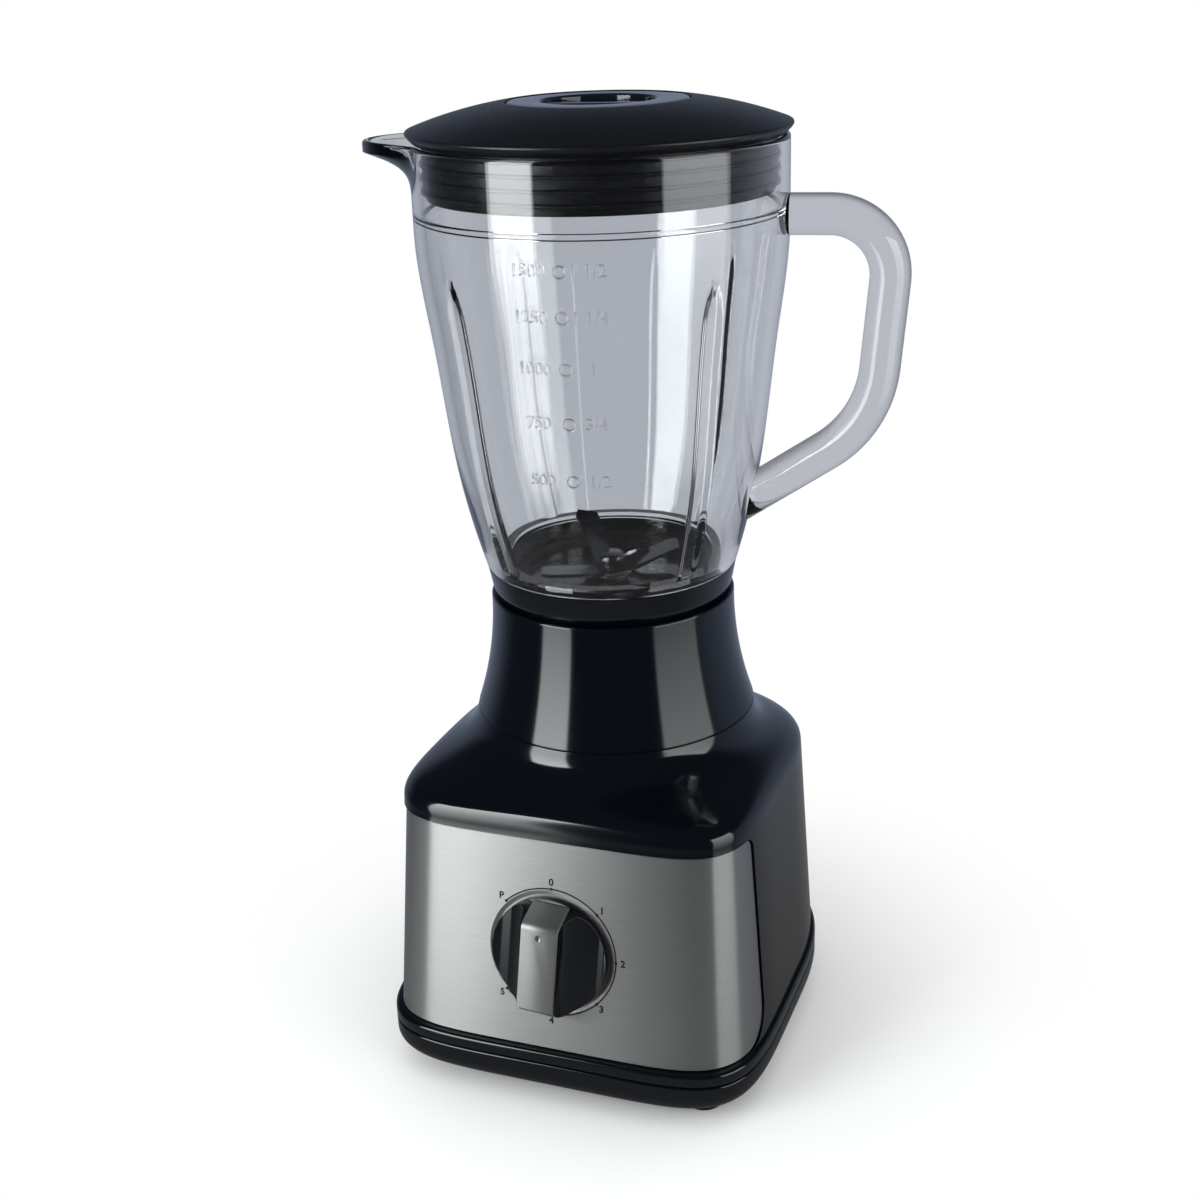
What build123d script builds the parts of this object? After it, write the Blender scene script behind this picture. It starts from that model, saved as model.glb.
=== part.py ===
from build123d import *
import math
import os

# Countertop blender: motor base, glass jug, lid, stopper and speed knob.
# Millimetres. The origin is where the drive axis meets the worktop.
# +Z is up, the dial faces -Y and the handle points to +X.

# Fits and gaps
RUN_FIT = 0.05          # radial gap of a turning shaft in its bush
MOVE_GAP = 0.4          # gap between pieces that part or turn past each other
FIT_GAP = 0.2           # gap between pieces that are pushed together and stay
SEAM_LINE = 0.6         # visible seam between tray and housing

# Base plan: a rounded square with a flat front and a rounder back
BASE_HALF_WIDTH = 81.7  # at the tray seam
BASE_FRONT = 90.6       # drive axis to front, at the tray seam
BASE_BACK = 85.0        # drive axis to back, at the tray seam
FRONT_POWER = 5.7       # squareness of the front corners
BACK_POWER = 2.7        # squareness of the back corners
SIDE_LEAN = 3.3         # degrees that each wall leans in
FRONT_LEAN = 6.0
BACK_LEAN = 3.3
PLAN_POINTS = 48        # points that carry the plan's closed curve
HOUSING_WALL = 3.0

# Base heights
FOOT_HEIGHT = 7.0
TRAY_HEIGHT = 14.0
TRAY_EDGE = 9.0         # rounding of the tray's lower edge
TRAY_EDGE_STEPS = 4
TRAY_PROUD = 1.3        # tray's wall stands out past the housing's
TRAY_FLOOR = 2.6
TRAY_LIP = 4.0          # height of the lip that centres the housing
TRAY_LIP_WALL = 1.6
SKIRT_HEIGHT = 4.4      # housing's foot, flush with the tray, above the tray seam
SKIRT_LEDGE = 1.5       # rise of the rounded ledge from the skirt to the wall
BODY_HEIGHT = 99.5      # tray seam to the start of the shoulder
SHOULDER_HEIGHT = 27.5
SHOULDER_STEPS = 8
SHOULDER_FULLNESS = 0.5 # how much fuller the shoulder is in front than behind
SHOULDER_IN = (0.0, 0.0, 0.9, 1.0)         # profile's control points, share of the way in
SHOULDER_UP = (0.0, 0.46, 0.34, 1.0)       # and share of the way up
DECK = 4.0              # thickness of the housing's top

# Feet and tray fittings
FOOT_RADIUS = 8.5
FOOT_STEM_RADIUS = 3.0
FRONT_FOOT = (58.0, -67.0)
REAR_FOOT = (48.0, 50.0)
POST_RADIUS = 5.0
POST_HEIGHT = 45.0
POST_RIB = 3.0
POST_RIB_LIFT = 8.0     # rib's foot above the tray seam
FRONT_POST = (57.0, -52.0)
REAR_POST = (56.0, 36.0)
VENT_COUNT = 14
VENT_INNER = 16.0
VENT_OUTER = 36.0
VENT_WIDTH = 4.0

# Steel front panel
PANEL_SHEET = 0.8
PANEL_SET = 0.8         # depth of the panel's face below the housing's skin
PANEL_LIFT = 6.1        # panel's opening above the tray seam
PANEL_DROP = 1.9        # and below the start of the shoulder
PANEL_END = -52.0       # where the panel stops on each side wall
PANEL_LOW_CORNER = 16.0
PANEL_HIGH_CORNER = 5.0
PANEL_EDGE_GAP = 0.4

# Collar and jug seat
COLLAR_FOOT_RADIUS = 58.8
COLLAR_WAIST_RADIUS = 52.9
COLLAR_WAIST_HEIGHT = 22.5
COLLAR_TOP_RADIUS = 50.6
COLLAR_HEIGHT = 50.5
COLLAR_WALL = 2.6
COLLAR_FLANGE = 2.0
SEAT_WALL = 2.6
SEAT_FLOOR = 3.0
SEAT_DEPTH = 32.0       # collar top to seat floor
SEAT_RECESS = 1.0       # seat rim below the collar's top
SEAT_RIB_COUNT = 4
SEAT_RIB_WIDTH = 6.0
SEAT_RIB_DEPTH = 2.2
DECK_HOLE_RADIUS = 24.0

# Screws
SCREW_SHANK = 1.8
SCREW_HEAD_RADIUS = 3.6
SCREW_HEAD = 2.4
SCREW_CROSS = 0.9
BOSS_RADIUS = 5.0
SEAT_SCREW_CIRCLE = 37.0
SEAT_SCREW_GRIP = 9.0   # screw's length in the seat's boss

# Motor
SHAFT_RADIUS = 4.0
SHAFT_LOW = 26.0
STATOR_LOW = 82.0
STATOR_STACK = 30.0
STATOR_HALF_X = 38.0
STATOR_HALF_Y = 34.0
STATOR_CORNER = 10.0
ARMATURE_RADIUS = 19.5
AIR_GAP = 0.6
SLOT_COUNT = 12
SLOT_WIDTH = 3.0
SLOT_DEPTH = 7.0
POLE_WEB = 2.0          # iron between the bore and each coil window
COIL_DEPTH = 7.0
COIL_START = 47.0       # degrees from the pole's axis
COIL_END = 78.0
COIL_SLACK = 1.0        # degrees of room at each side of a window
COIL_OVERHANG = 8.0
WINDING_RADIUS = 17.0
WINDING_OVERHANG = 7.0
COMMUTATOR_RADIUS = 12.0
COMMUTATOR_LOW = 58.0
COMMUTATOR_HEIGHT = 15.0
COMMUTATOR_BARS = 24
BAR_GROOVE = 0.6
BRUSH_WIDTH = 6.0
BRUSH_DEPTH = 8.0
BRUSH_LENGTH = 12.0
BRUSH_GAP = 0.3
HOLDER_WALL = 2.0
HOLDER_INNER = 15.0
HOLDER_OUTER = 36.0
SPRING_WIRE = 0.45
SPRING_RADIUS = 2.2
SPRING_TURNS = 5
BRACKET_PLATE = 3.0
BRACKET_LEG_RADIUS = 4.5
BRACKET_LEG_X = 30.0
BRACKET_LEG_Y = 26.0
BRACKET_WINDOW_X = 20.0
LOWER_PLATE_LOW = 47.0
UPPER_LEG = 12.0
BEARING_RADIUS = 8.0
BEARING_HEIGHT = 10.0
BEARING_HOUSING_WALL = 3.0
BOLT_RADIUS = 2.0
BOLT_HEAD_RADIUS = 3.8
BOLT_HEAD = 3.0
ARM_REACH = 58.0
ARM_WIDTH = 13.0
MOUNT_CIRCLE = 52.0
DAMPER_RADIUS = 6.5
DAMPER_HEIGHT = 7.0
FAN_LOW = 30.0
FAN_RADIUS = 34.0
FAN_HUB_RADIUS = 8.0
FAN_DISC = 2.0
FAN_HEIGHT = 12.0
FAN_BLADES = 11
FAN_BLADE = 1.6

# Coupling between motor and jug
COUPLING_RADIUS = 17.0
COUPLING_INNER = 8.5
COUPLING_DISC = 4.0
COUPLING_TOOTH = 8.0
COUPLING_TEETH = 6
COUPLING_TOOTH_ANGLE = 26.0
COUPLING_LIFT = 4.5     # coupling above the seat floor

# Speed knob and switch
DIAL_HEIGHT = 70.7
KNOB_TURN = 3.8         # degrees clockwise that the knob stands turned from the zero mark
KNOB_RADIUS = 24.5
KNOB_EDGE = 3.0
KNOB_RISE = 15.0
KNOB_BAR_WIDTH = 15.6
KNOB_BAR_SIDE = 3.0     # straight side of the bar above the scoop
KNOB_RAMP_TOP = 17.5    # pointer end of the bar: bend of its face, and foot of its ramp
KNOB_RAMP_FOOT = 22.3
KNOB_TAIL = 18.2        # other end of the bar's face
KNOB_TAIL_BEND = (22.0, 4.0)  # how far out the tail's bend is, and how far below the face
KNOB_TAIL_FOOT = 23.3
KNOB_PLATE = 1.0
KNOB_DIMPLE_RADIUS = 1.5
KNOB_DIMPLE_PLACE = 13.4
KNOB_GAP = 0.6
KNOB_POCKET_RADIUS = 9.0
KNOB_POCKET = 6.0
SPINDLE_RADIUS = 3.0
SPINDLE_LENGTH = 13.0   # in front of the panel
SPINDLE_TAIL = 9.0
SWITCH_NECK_RADIUS = 4.8
SWITCH_NECK = 3.6
SWITCH_NUT = 2.2
SWITCH_NUT_FLATS = 13.0
SWITCH_WIDTH = 34.0
SWITCH_DEPTH = 18.0
SWITCH_TAB = 0.8
SWITCH_TAB_WIDTH = 3.0
SWITCH_TAB_LENGTH = 6.0

# Cord gland and suppressor
GLAND_HEIGHT = 38.0
GLAND_RADIUS = 7.5
GLAND_FLANGE_RADIUS = 10.5
GLAND_FLANGE = 2.5
GLAND_INSIDE = 6.0
GLAND_BORE = 3.6
SUPPRESSOR = (26.0, 10.0, 18.0)
SUPPRESSOR_PLACE = (0.0, 56.0)
CLIP_WALL = 2.0
CLIP_HEIGHT = 9.0

# Glass jug
JUG_TURN = 8.0          # degrees that the jug stands turned on its seat
JUG_FOOT_RADIUS = 51.6
JUG_BELLY_RADIUS = 60.5
JUG_BELLY_HEIGHT = 36.0
JUG_WAIST_RADIUS = 68.2
JUG_WAIST_HEIGHT = 94.0
JUG_BODY_RADIUS = 72.8
JUG_BODY_HEIGHT = 138.0
JUG_HEIGHT = 170.0      # visible glass, foot to rim
JUG_WALL = 4.6
JUG_NECK_RADIUS = 46.6
JUG_NECK_WALL = 4.0
JUG_NECK_LENGTH = 7.0
JUG_SILL = 4.0          # glass over the neck, inside
JUG_FOOT_FLARE = 0.3    # outward run per rise where the side leaves the foot
MOUTH_WALL = 3.2
MOUTH_DEPTH = 25.4      # rim to the inner ledge
JUG_RIB_COUNT = 4
JUG_RIB_FIRST = 48.0    # degrees from the handle
JUG_RIB_RADIUS = 4.0
JUG_RIB_TOP = 118.0
HANDLE_THICK = 15.8
HANDLE_WIDTH = 18.5
HANDLE_REACH = 113.5    # where the grip's line meets the top bar's line
HANDLE_KNEE = 106.3
HANDLE_ROOT = 53.0
HANDLE_TOP = 29.2       # top bar below the rim
HANDLE_DROP = 80.7      # top bar to the knee
HANDLE_TAIL_SLOPE = 33.0
HANDLE_TOP_BEND = 23.0
HANDLE_KNEE_BEND = 45.0
SPOUT_REACH = 94.4
SPOUT_OVERLAP = 10.3    # spout's root inside the jug's side
SPOUT_ROOT_HALF = 34.0  # half width of the spout's root
SPOUT_FLANK = (0.24, 19.5)    # plan points of the spout: share of its run past the side, half width
SPOUT_CHEEK = (0.773, 9.6)
SPOUT_WALL = 3.4
SPOUT_TIP_DEPTH = 5.0   # rim to the underside at the tip
SPOUT_ROOT_DEPTH = 9.6
SPOUT_TROUGH = 2.6      # depth of the trough at the tip

# Jug foot
RING_FOOT_RADIUS = 49.2
RING_FLANGE = 1.8
RING_BORE_RADIUS = 38.0
SPIGOT_LENGTH = 15.0
SPIGOT_WALL = 3.0
GASKET = 1.4
CARRIER_DISC = 2.0
CARRIER_BOSS_RADIUS = 14.0
CARRIER_BOSS = 10.0
CARRIER_CONE_RADIUS = 9.0
CARRIER_CONE = 1.2
BUSH_RADIUS = 7.5
SEAL_HEIGHT = 3.0
BLADE_SHAFT_RADIUS = 4.0
BLADE_STUD_RADIUS = 3.0
BLADE_SHEET = 1.4
BLADE_HUB_RADIUS = 8.0
BLADE_WIDTH = 10.0
BLADE_TIP_WIDTH = 6.0
BLADE_TURN = 135.0
UPPER_BLADE_REACH = 26.0
UPPER_BLADE_ANGLE = 38.0
LOWER_BLADE_REACH = 30.0
LOWER_BLADE_ANGLE = 10.0
BLADE_WASHER = 0.8
BLADE_NUT_FLATS = 10.0
BLADE_NUT = 4.2
BLADE_NUT_BALL = 6.0    # ball that rounds the nut's crown

# Lid and stopper
LID_OVERHANG = 1.8      # lid's widest line past the jug's side
LID_EDGE_OVERHANG = 0.4 # and its lower edge
LID_EDGE = 2.0          # lid's lower edge above its bearing face
LID_RIM = 3.8           # lid's widest line above its bearing face
LID_DOME = 12.4         # top of the dome above its bearing face
LID_WALL = 3.0
LID_LIP = 1.0
LID_CROWN = 1.2         # rise of the dome above a straight cone
PLUG_GAP = 2.4          # plug to the jug's mouth, filled by the seal
PLUG_WALL = 2.6
PLUG_DEPTH = 20.5
SEAL_SLEEVE = 0.9
SEAL_RIB_HEIGHT = 1.6
SEAL_RIB_COUNT = 3
SEAL_RIB_PITCH = 5.0
SEAL_LOW = 3.0
STOPPER_RADIUS = 35.1
STOPPER_DISC = 3.4
STOPPER_SINK = 0.1      # stopper's face below the lid's lip
STOPPER_TUBE_RADIUS = 30.4
STOPPER_WALL = 2.2
STOPPER_DEPTH = 23.0
STOPPER_RECESS_RADIUS = 22.0
STOPPER_RECESS = 15.5
STOPPER_BAR = 9.0
STOPPER_BAR_DROP = 1.2
LID_TUBE_WALL = 2.4
LID_TUBE = 12.0

# Heights that follow
TRAY_LOW = FOOT_HEIGHT
TRAY_INSIDE = TRAY_LOW + TRAY_FLOOR
SEAM_Z = TRAY_LOW + TRAY_HEIGHT
HOUSING_LOW = SEAM_Z + SEAM_LINE
RIM_Z = SEAM_Z + BODY_HEIGHT
SKIRT_TOP = SEAM_Z + SKIRT_HEIGHT
PANEL_LOW = SEAM_Z + PANEL_LIFT
PANEL_HIGH = RIM_Z - PANEL_DROP
DECK_TOP = RIM_Z + SHOULDER_HEIGHT
DECK_LOW = DECK_TOP - DECK
COLLAR_TOP = DECK_TOP + COLLAR_HEIGHT
SEAT_TOP = COLLAR_TOP - SEAT_RECESS
SEAT_FLOOR_TOP = COLLAR_TOP - SEAT_DEPTH
SEAT_RADIUS = COLLAR_TOP_RADIUS - COLLAR_WALL - FIT_GAP
SEAT_INSIDE = SEAT_RADIUS - SEAT_WALL
STATOR_TOP = STATOR_LOW + STATOR_STACK
STATOR_BORE = ARMATURE_RADIUS + AIR_GAP
LOWER_PLATE_TOP = LOWER_PLATE_LOW + BRACKET_PLATE
UPPER_PLATE_LOW = STATOR_TOP + UPPER_LEG
UPPER_PLATE_TOP = UPPER_PLATE_LOW + BRACKET_PLATE
BRUSH_Z = COMMUTATOR_LOW + COMMUTATOR_HEIGHT / 2
RING_STEP = COLLAR_TOP + MOVE_GAP
CARRIER_LOW = RING_STEP + RING_FLANGE
CARRIER_TOP = CARRIER_LOW + CARRIER_DISC
NECK_LOW = CARRIER_TOP + GASKET
JUG_FOOT_Z = NECK_LOW + JUG_NECK_LENGTH
JUG_RIM_Z = JUG_FOOT_Z + JUG_HEIGHT
LEDGE_Z = JUG_RIM_Z - MOUTH_DEPTH
MOUTH_RADIUS = JUG_BODY_RADIUS - MOUTH_WALL
SPIGOT_RADIUS = SEAT_INSIDE - MOVE_GAP
SPIGOT_LOW = RING_STEP - SPIGOT_LENGTH
RING_INSIDE = JUG_NECK_RADIUS + FIT_GAP
COUPLING_LOW = SEAT_FLOOR_TOP + COUPLING_LIFT
TOOTH_LOW = COUPLING_LOW + COUPLING_DISC
TOOTH_TOP = TOOTH_LOW + COUPLING_TOOTH
DRIVEN_DISC_LOW = TOOTH_TOP + MOVE_GAP
DRIVEN_TOOTH_LOW = TOOTH_LOW + MOVE_GAP
DRIVEN_TOP = DRIVEN_DISC_LOW + COUPLING_DISC
SHAFT_TOP = TOOTH_LOW
CONE_TOP = CARRIER_TOP + CARRIER_CONE
BUSH_LOW = CARRIER_TOP - CARRIER_BOSS
BUSH_TOP = CONE_TOP - SEAL_HEIGHT
WASHER_TOP = CONE_TOP + MOVE_GAP + BLADE_WASHER
LOWER_BLADE_TOP = WASHER_TOP + BLADE_SHEET
UPPER_BLADE_TOP = LOWER_BLADE_TOP + BLADE_SHEET
NUT_TOP = UPPER_BLADE_TOP + BLADE_NUT
LID_RADIUS = JUG_BODY_RADIUS + LID_OVERHANG
LID_EDGE_RADIUS = JUG_BODY_RADIUS + LID_EDGE_OVERHANG
LID_LOW = JUG_RIM_Z + MOVE_GAP
LID_TOP = LID_LOW + LID_DOME
PLUG_RADIUS = MOUTH_RADIUS - PLUG_GAP
PLUG_LOW = LID_LOW - PLUG_DEPTH
SEAL_RADIUS = MOUTH_RADIUS - MOVE_GAP
STOPPER_TOP = LID_TOP + LID_LIP - STOPPER_SINK
STOPPER_DISC_LOW = STOPPER_TOP - STOPPER_DISC
STOPPER_SEAT = STOPPER_DISC_LOW - MOVE_GAP
STOPPER_LOW = STOPPER_TOP - STOPPER_DEPTH
STOPPER_HOLE = STOPPER_TUBE_RADIUS + MOVE_GAP
STOPPER_POCKET = STOPPER_RADIUS + MOVE_GAP
QUARTERS = (45.0, 135.0, 225.0, 315.0)


def save(name, shape):
    """Write one sub-part to its own STEP file."""
    export_step(shape, f"parts/{name}.step")


def polar(radius, angle, z=0.0):
    """Point at a radius and an angle in degrees about the drive axis."""
    turn = math.radians(angle)
    return Vector(radius * math.cos(turn), radius * math.sin(turn), z)


def rod(radius, low, high):
    """Upright cylinder on the drive axis."""
    return Pos(0, 0, low) * Cylinder(radius, high - low, align=(Align.CENTER, Align.CENTER, Align.MIN))


def tube(inner, outer, low, high):
    """Upright tube on the drive axis."""
    return rod(outer, low, high) - rod(inner, low, high)


def block(x0, x1, y0, y1, z0, z1):
    """Box between two corners."""
    return Pos(x0, y0, z0) * Box(x1 - x0, y1 - y0, z1 - z0, align=(Align.MIN, Align.MIN, Align.MIN))


def sector(inner, outer, start, end, low, high):
    """Piece of an upright tube between two angles in degrees."""
    middle = (start + end) / 2
    outline = Wire([
        Edge.make_three_point_arc(polar(inner, start), polar(inner, middle), polar(inner, end)),
        Edge.make_line(polar(inner, end), polar(outer, end)),
        Edge.make_three_point_arc(polar(outer, end), polar(outer, middle), polar(outer, start)),
        Edge.make_line(polar(outer, start), polar(inner, start)),
    ])
    return Pos(0, 0, low) * extrude(Face(outline), high - low, dir=(0, 0, 1))


def turned(*points):
    """Solid of revolution from a closed outline of radius and height."""
    outline = Wire.make_polygon([Vector(r, 0, z) for r, z in points], close=True)
    return revolve(Face(outline), Axis.Z)


def screw(head_z, shank, point_up=True, radius=SCREW_SHANK, head_radius=SCREW_HEAD_RADIUS, head=SCREW_HEAD):
    """Pan-head screw on the drive axis, its head's bearing face at head_z."""
    way = 1 if point_up else -1
    low_head = head_z - head if point_up else head_z
    slot_low = head_z - head if point_up else head_z + head - SCREW_CROSS
    body = rod(head_radius, low_head, low_head + head)
    body += rod(radius, min(head_z, head_z + way * shank), max(head_z, head_z + way * shank))
    for turn in (0, 90):
        slot = block(-head_radius / 2, head_radius / 2, -SCREW_CROSS / 2, SCREW_CROSS / 2,
                     slot_low, slot_low + SCREW_CROSS)
        body -= Rot(0, 0, turn) * slot
    return body


def lean(angle, z):
    """How far a wall has leaned in at a height."""
    return (z - SEAM_Z) * math.tan(math.radians(angle))


def plan_radius(angle, z, inset):
    """Radius of the base's plan in one direction, at a height and inset by a wall."""
    across = math.cos(math.radians(angle))
    along = math.sin(math.radians(angle))
    half_width = BASE_HALF_WIDTH - lean(SIDE_LEAN, z) - inset
    if along < 0:
        depth, power = BASE_FRONT - lean(FRONT_LEAN, z) - inset, FRONT_POWER
    else:
        depth, power = BASE_BACK - lean(BACK_LEAN, z) - inset, BACK_POWER
    return (abs(across / half_width) ** power + abs(along / depth) ** power) ** (-1 / power)


def plan_wire(plan_z, z, inset=0.0, neck=0.0):
    """Closed plan curve at height z, blended from the base's plan towards the collar's circle."""
    points = []
    for i in range(PLAN_POINTS):
        angle = 360 * i / PLAN_POINTS
        share = neck ** (1 - SHOULDER_FULLNESS * math.sin(math.radians(angle)))
        radius = (1 - share) * plan_radius(angle, plan_z, inset) + share * (COLLAR_FOOT_RADIUS - inset)
        points.append(polar(radius, angle, z))
    knots = [i / PLAN_POINTS for i in range(PLAN_POINTS + 1)]
    return Wire([Edge.make_spline(points, periodic=True, parameters=knots)])


def body_block(inset, low, high):
    """The housing's leaning walls as a solid block, inset from the skin."""
    return Part() + Solid.make_loft([plan_wire(low, low, inset), plan_wire(high, high, inset)], ruled=True)


def shoulder_curve(t):
    """Share of the way in to the collar, and height, along the shoulder's S-shaped profile."""
    weights = ((1 - t) ** 3, 3 * t * (1 - t) ** 2, 3 * t * t * (1 - t), t ** 3)
    neck = sum(w * p for w, p in zip(weights, SHOULDER_IN))
    height = sum(w * p for w, p in zip(weights, SHOULDER_UP))
    return neck, height * SHOULDER_HEIGHT


def shoulder_block(inset, drop):
    """The housing's shoulder as a solid block, inset and lowered by a wall."""
    wires = []
    for i in range(SHOULDER_STEPS + 1):
        neck, height = shoulder_curve(i / SHOULDER_STEPS)
        wires.append(plan_wire(RIM_Z, RIM_Z - drop + height, inset, neck))
    return Part() + Solid.make_loft(wires)


def mirrored_pairs(place):
    """A place on the right and its mirror image on the left."""
    return [(place[0], place[1]), (-place[0], place[1])]


FEET = mirrored_pairs(FRONT_FOOT) + mirrored_pairs(REAR_FOOT)
POSTS = mirrored_pairs(FRONT_POST) + mirrored_pairs(REAR_POST)


def panel_prism(gap):
    """Sideways prism whose side view is the front panel, with rounded rear corners."""
    far = -2 * BASE_FRONT
    low = PANEL_LOW + gap
    high = PANEL_HIGH - gap
    end = PANEL_END - gap
    run = FilletPolyline((far, low), (end, low), (end, high), (far, high),
                         radius=[PANEL_LOW_CORNER - gap, PANEL_HIGH_CORNER - gap])
    side = make_face(Plane.YZ * (Curve() + [run, Line((far, high), (far, low))]))
    return extrude(side, 2 * BASE_HALF_WIDTH, both=True)


FACE_Y = -(BASE_FRONT - lean(FRONT_LEAN, DIAL_HEIGHT) - PANEL_SET)
DIAL = Plane(
    origin=(0, FACE_Y, DIAL_HEIGHT),
    x_dir=(1, 0, 0),
    z_dir=(0, -math.cos(math.radians(FRONT_LEAN)), math.sin(math.radians(FRONT_LEAN))),
)
BACK_Y = BASE_BACK - lean(BACK_LEAN, GLAND_HEIGHT)
GLAND = Plane(origin=(0, BACK_Y, GLAND_HEIGHT), x_dir=(-1, 0, 0), z_dir=(0, 1, 0))


def make_tray():
    """Bottom tray with its rounded edge, vents, feet sockets, centring lip and suppressor clip."""
    outside = []
    inside = []
    for step in range(TRAY_EDGE_STEPS + 1):
        turn = math.pi / 2 * step / TRAY_EDGE_STEPS
        inset = TRAY_EDGE * (1 - math.sin(turn)) - TRAY_PROUD
        z = TRAY_LOW + TRAY_EDGE * (1 - math.cos(turn))
        outside.append(plan_wire(SEAM_Z, z, inset))
        inside.append(plan_wire(SEAM_Z, z + TRAY_FLOOR, inset + HOUSING_WALL))
    shell = Part() + Solid.make_loft(outside)
    edge_top = TRAY_LOW + TRAY_EDGE
    upper = Solid.make_loft([plan_wire(SEAM_Z, edge_top, -TRAY_PROUD),
                             plan_wire(SEAM_Z, SEAM_Z, -TRAY_PROUD)], ruled=True)
    hollow = Part() + Solid.make_loft(inside)
    hollow_low = edge_top + TRAY_FLOOR
    hollow_inset = HOUSING_WALL - TRAY_PROUD
    hollow += Solid.make_loft([plan_wire(SEAM_Z, hollow_low, hollow_inset),
                               plan_wire(SEAM_Z, SEAM_Z + TRAY_LIP, hollow_inset)], ruled=True)
    tray = shell + upper - hollow
    lip_low = SEAM_Z - TRAY_LIP
    lip_out = HOUSING_WALL + FIT_GAP
    lip = body_block(lip_out, lip_low, SEAM_Z + TRAY_LIP)
    lip -= body_block(lip_out + TRAY_LIP_WALL, lip_low, SEAM_Z + TRAY_LIP)
    foot_of_lip = body_block(0, lip_low, SEAM_Z)
    foot_of_lip -= body_block(lip_out + TRAY_LIP_WALL, lip_low, SEAM_Z)
    tray += lip + foot_of_lip
    for x, y in FEET:
        tray -= Pos(x, y, 0) * rod(FOOT_STEM_RADIUS, TRAY_LOW, TRAY_INSIDE)
    for x, y in POSTS:
        tray -= Pos(x, y, 0) * rod(SCREW_SHANK + FIT_GAP, TRAY_LOW, TRAY_INSIDE)
    for i in range(VENT_COUNT):
        slot = block(VENT_INNER, VENT_OUTER, -VENT_WIDTH / 2, VENT_WIDTH / 2, TRAY_LOW, TRAY_INSIDE)
        tray -= Rot(0, 0, 360 * i / VENT_COUNT) * slot
    length, width, _ = SUPPRESSOR
    clip = block(-length / 2 - CLIP_WALL, length / 2 + CLIP_WALL,
                 -width / 2 - CLIP_WALL, width / 2 + CLIP_WALL, TRAY_INSIDE, TRAY_INSIDE + CLIP_HEIGHT)
    clip -= block(-length / 2, length / 2, -width / 2, width / 2, TRAY_INSIDE, TRAY_INSIDE + CLIP_HEIGHT)
    tray += Pos(*SUPPRESSOR_PLACE, 0) * clip
    save("bottom_tray", tray)


def make_feet():
    """Four rubber feet with stems that plug into the tray."""
    foot = rod(FOOT_RADIUS, 0, FOOT_HEIGHT)
    foot = fillet(foot.edges().group_by(Axis.Z)[0], FOOT_HEIGHT / 4)
    foot += rod(FOOT_STEM_RADIUS, FOOT_HEIGHT, TRAY_INSIDE)
    save("rubber_feet", Compound(children=[Pos(x, y, 0) * foot for x, y in FEET]))


def skirt_block():
    """The housing's foot as a solid block, flush with the tray, with a rounded ledge on top."""
    rings = [
        (HOUSING_LOW, -TRAY_PROUD),
        (SKIRT_TOP, -TRAY_PROUD),
        (SKIRT_TOP + 0.65 * SKIRT_LEDGE, -0.7 * TRAY_PROUD),
        (SKIRT_TOP + SKIRT_LEDGE, PANEL_SET),
    ]
    return Part() + Solid.make_loft([plan_wire(SEAM_Z, z, inset) for z, inset in rings], ruled=True)


def make_housing():
    """Main housing: skirt, leaning walls, shoulder, deck, panel recess, screw posts and motor bosses."""
    skin = body_block(0, HOUSING_LOW, RIM_Z) + shoulder_block(0, 0) + skirt_block()
    hollow = body_block(HOUSING_WALL, HOUSING_LOW, RIM_Z - DECK) + shoulder_block(HOUSING_WALL, DECK)
    housing = skin - hollow
    recess = PANEL_SET + PANEL_SHEET
    housing -= panel_prism(0) - body_block(recess, SEAM_Z, RIM_Z)
    for x, y in POSTS:
        post = Pos(x, y, 0) * rod(POST_RADIUS, TRAY_INSIDE, TRAY_INSIDE + POST_HEIGHT)
        rib = block(0, BASE_HALF_WIDTH, -POST_RIB / 2, POST_RIB / 2,
                    SEAM_Z + POST_RIB_LIFT, TRAY_INSIDE + POST_HEIGHT)
        rib = Pos(x, y, 0) * Rot(0, 0, math.degrees(math.atan2(y, x))) * rib
        rib &= body_block((HOUSING_WALL + recess) / 2, HOUSING_LOW, RIM_Z)
        hole = Pos(x, y, 0) * rod(SCREW_SHANK, TRAY_INSIDE, TRAY_INSIDE + POST_HEIGHT / 2)
        housing += post + rib - hole
    boss_low = UPPER_PLATE_TOP + DAMPER_HEIGHT
    for angle in QUARTERS:
        boss = Pos(*polar(MOUNT_CIRCLE, angle)) * rod(BOSS_RADIUS, boss_low, DECK_LOW)
        hole = Pos(*polar(MOUNT_CIRCLE, angle)) * rod(SCREW_SHANK, boss_low, DECK_LOW)
        housing += boss - hole
        screw_hole = rod(SCREW_SHANK + FIT_GAP, DECK_LOW, DECK_TOP)
        housing -= Pos(*polar(SEAT_SCREW_CIRCLE, angle + 45)) * screw_hole
    housing -= rod(DECK_HOLE_RADIUS, DECK_LOW, DECK_TOP)
    neck_hole = Cylinder(SWITCH_NECK_RADIUS + FIT_GAP, 4 * HOUSING_WALL)
    housing -= DIAL.location * neck_hole
    housing -= GLAND.location * Cylinder(GLAND_RADIUS, 4 * HOUSING_WALL)
    save("housing", housing)


def make_tray_screws():
    """Four screws that hold the tray to the housing's posts."""
    one = screw(TRAY_LOW, TRAY_FLOOR + POST_HEIGHT / 2 - SCREW_HEAD)
    save("tray_screws", Compound(children=[Pos(x, y, 0) * one for x, y in POSTS]))


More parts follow.
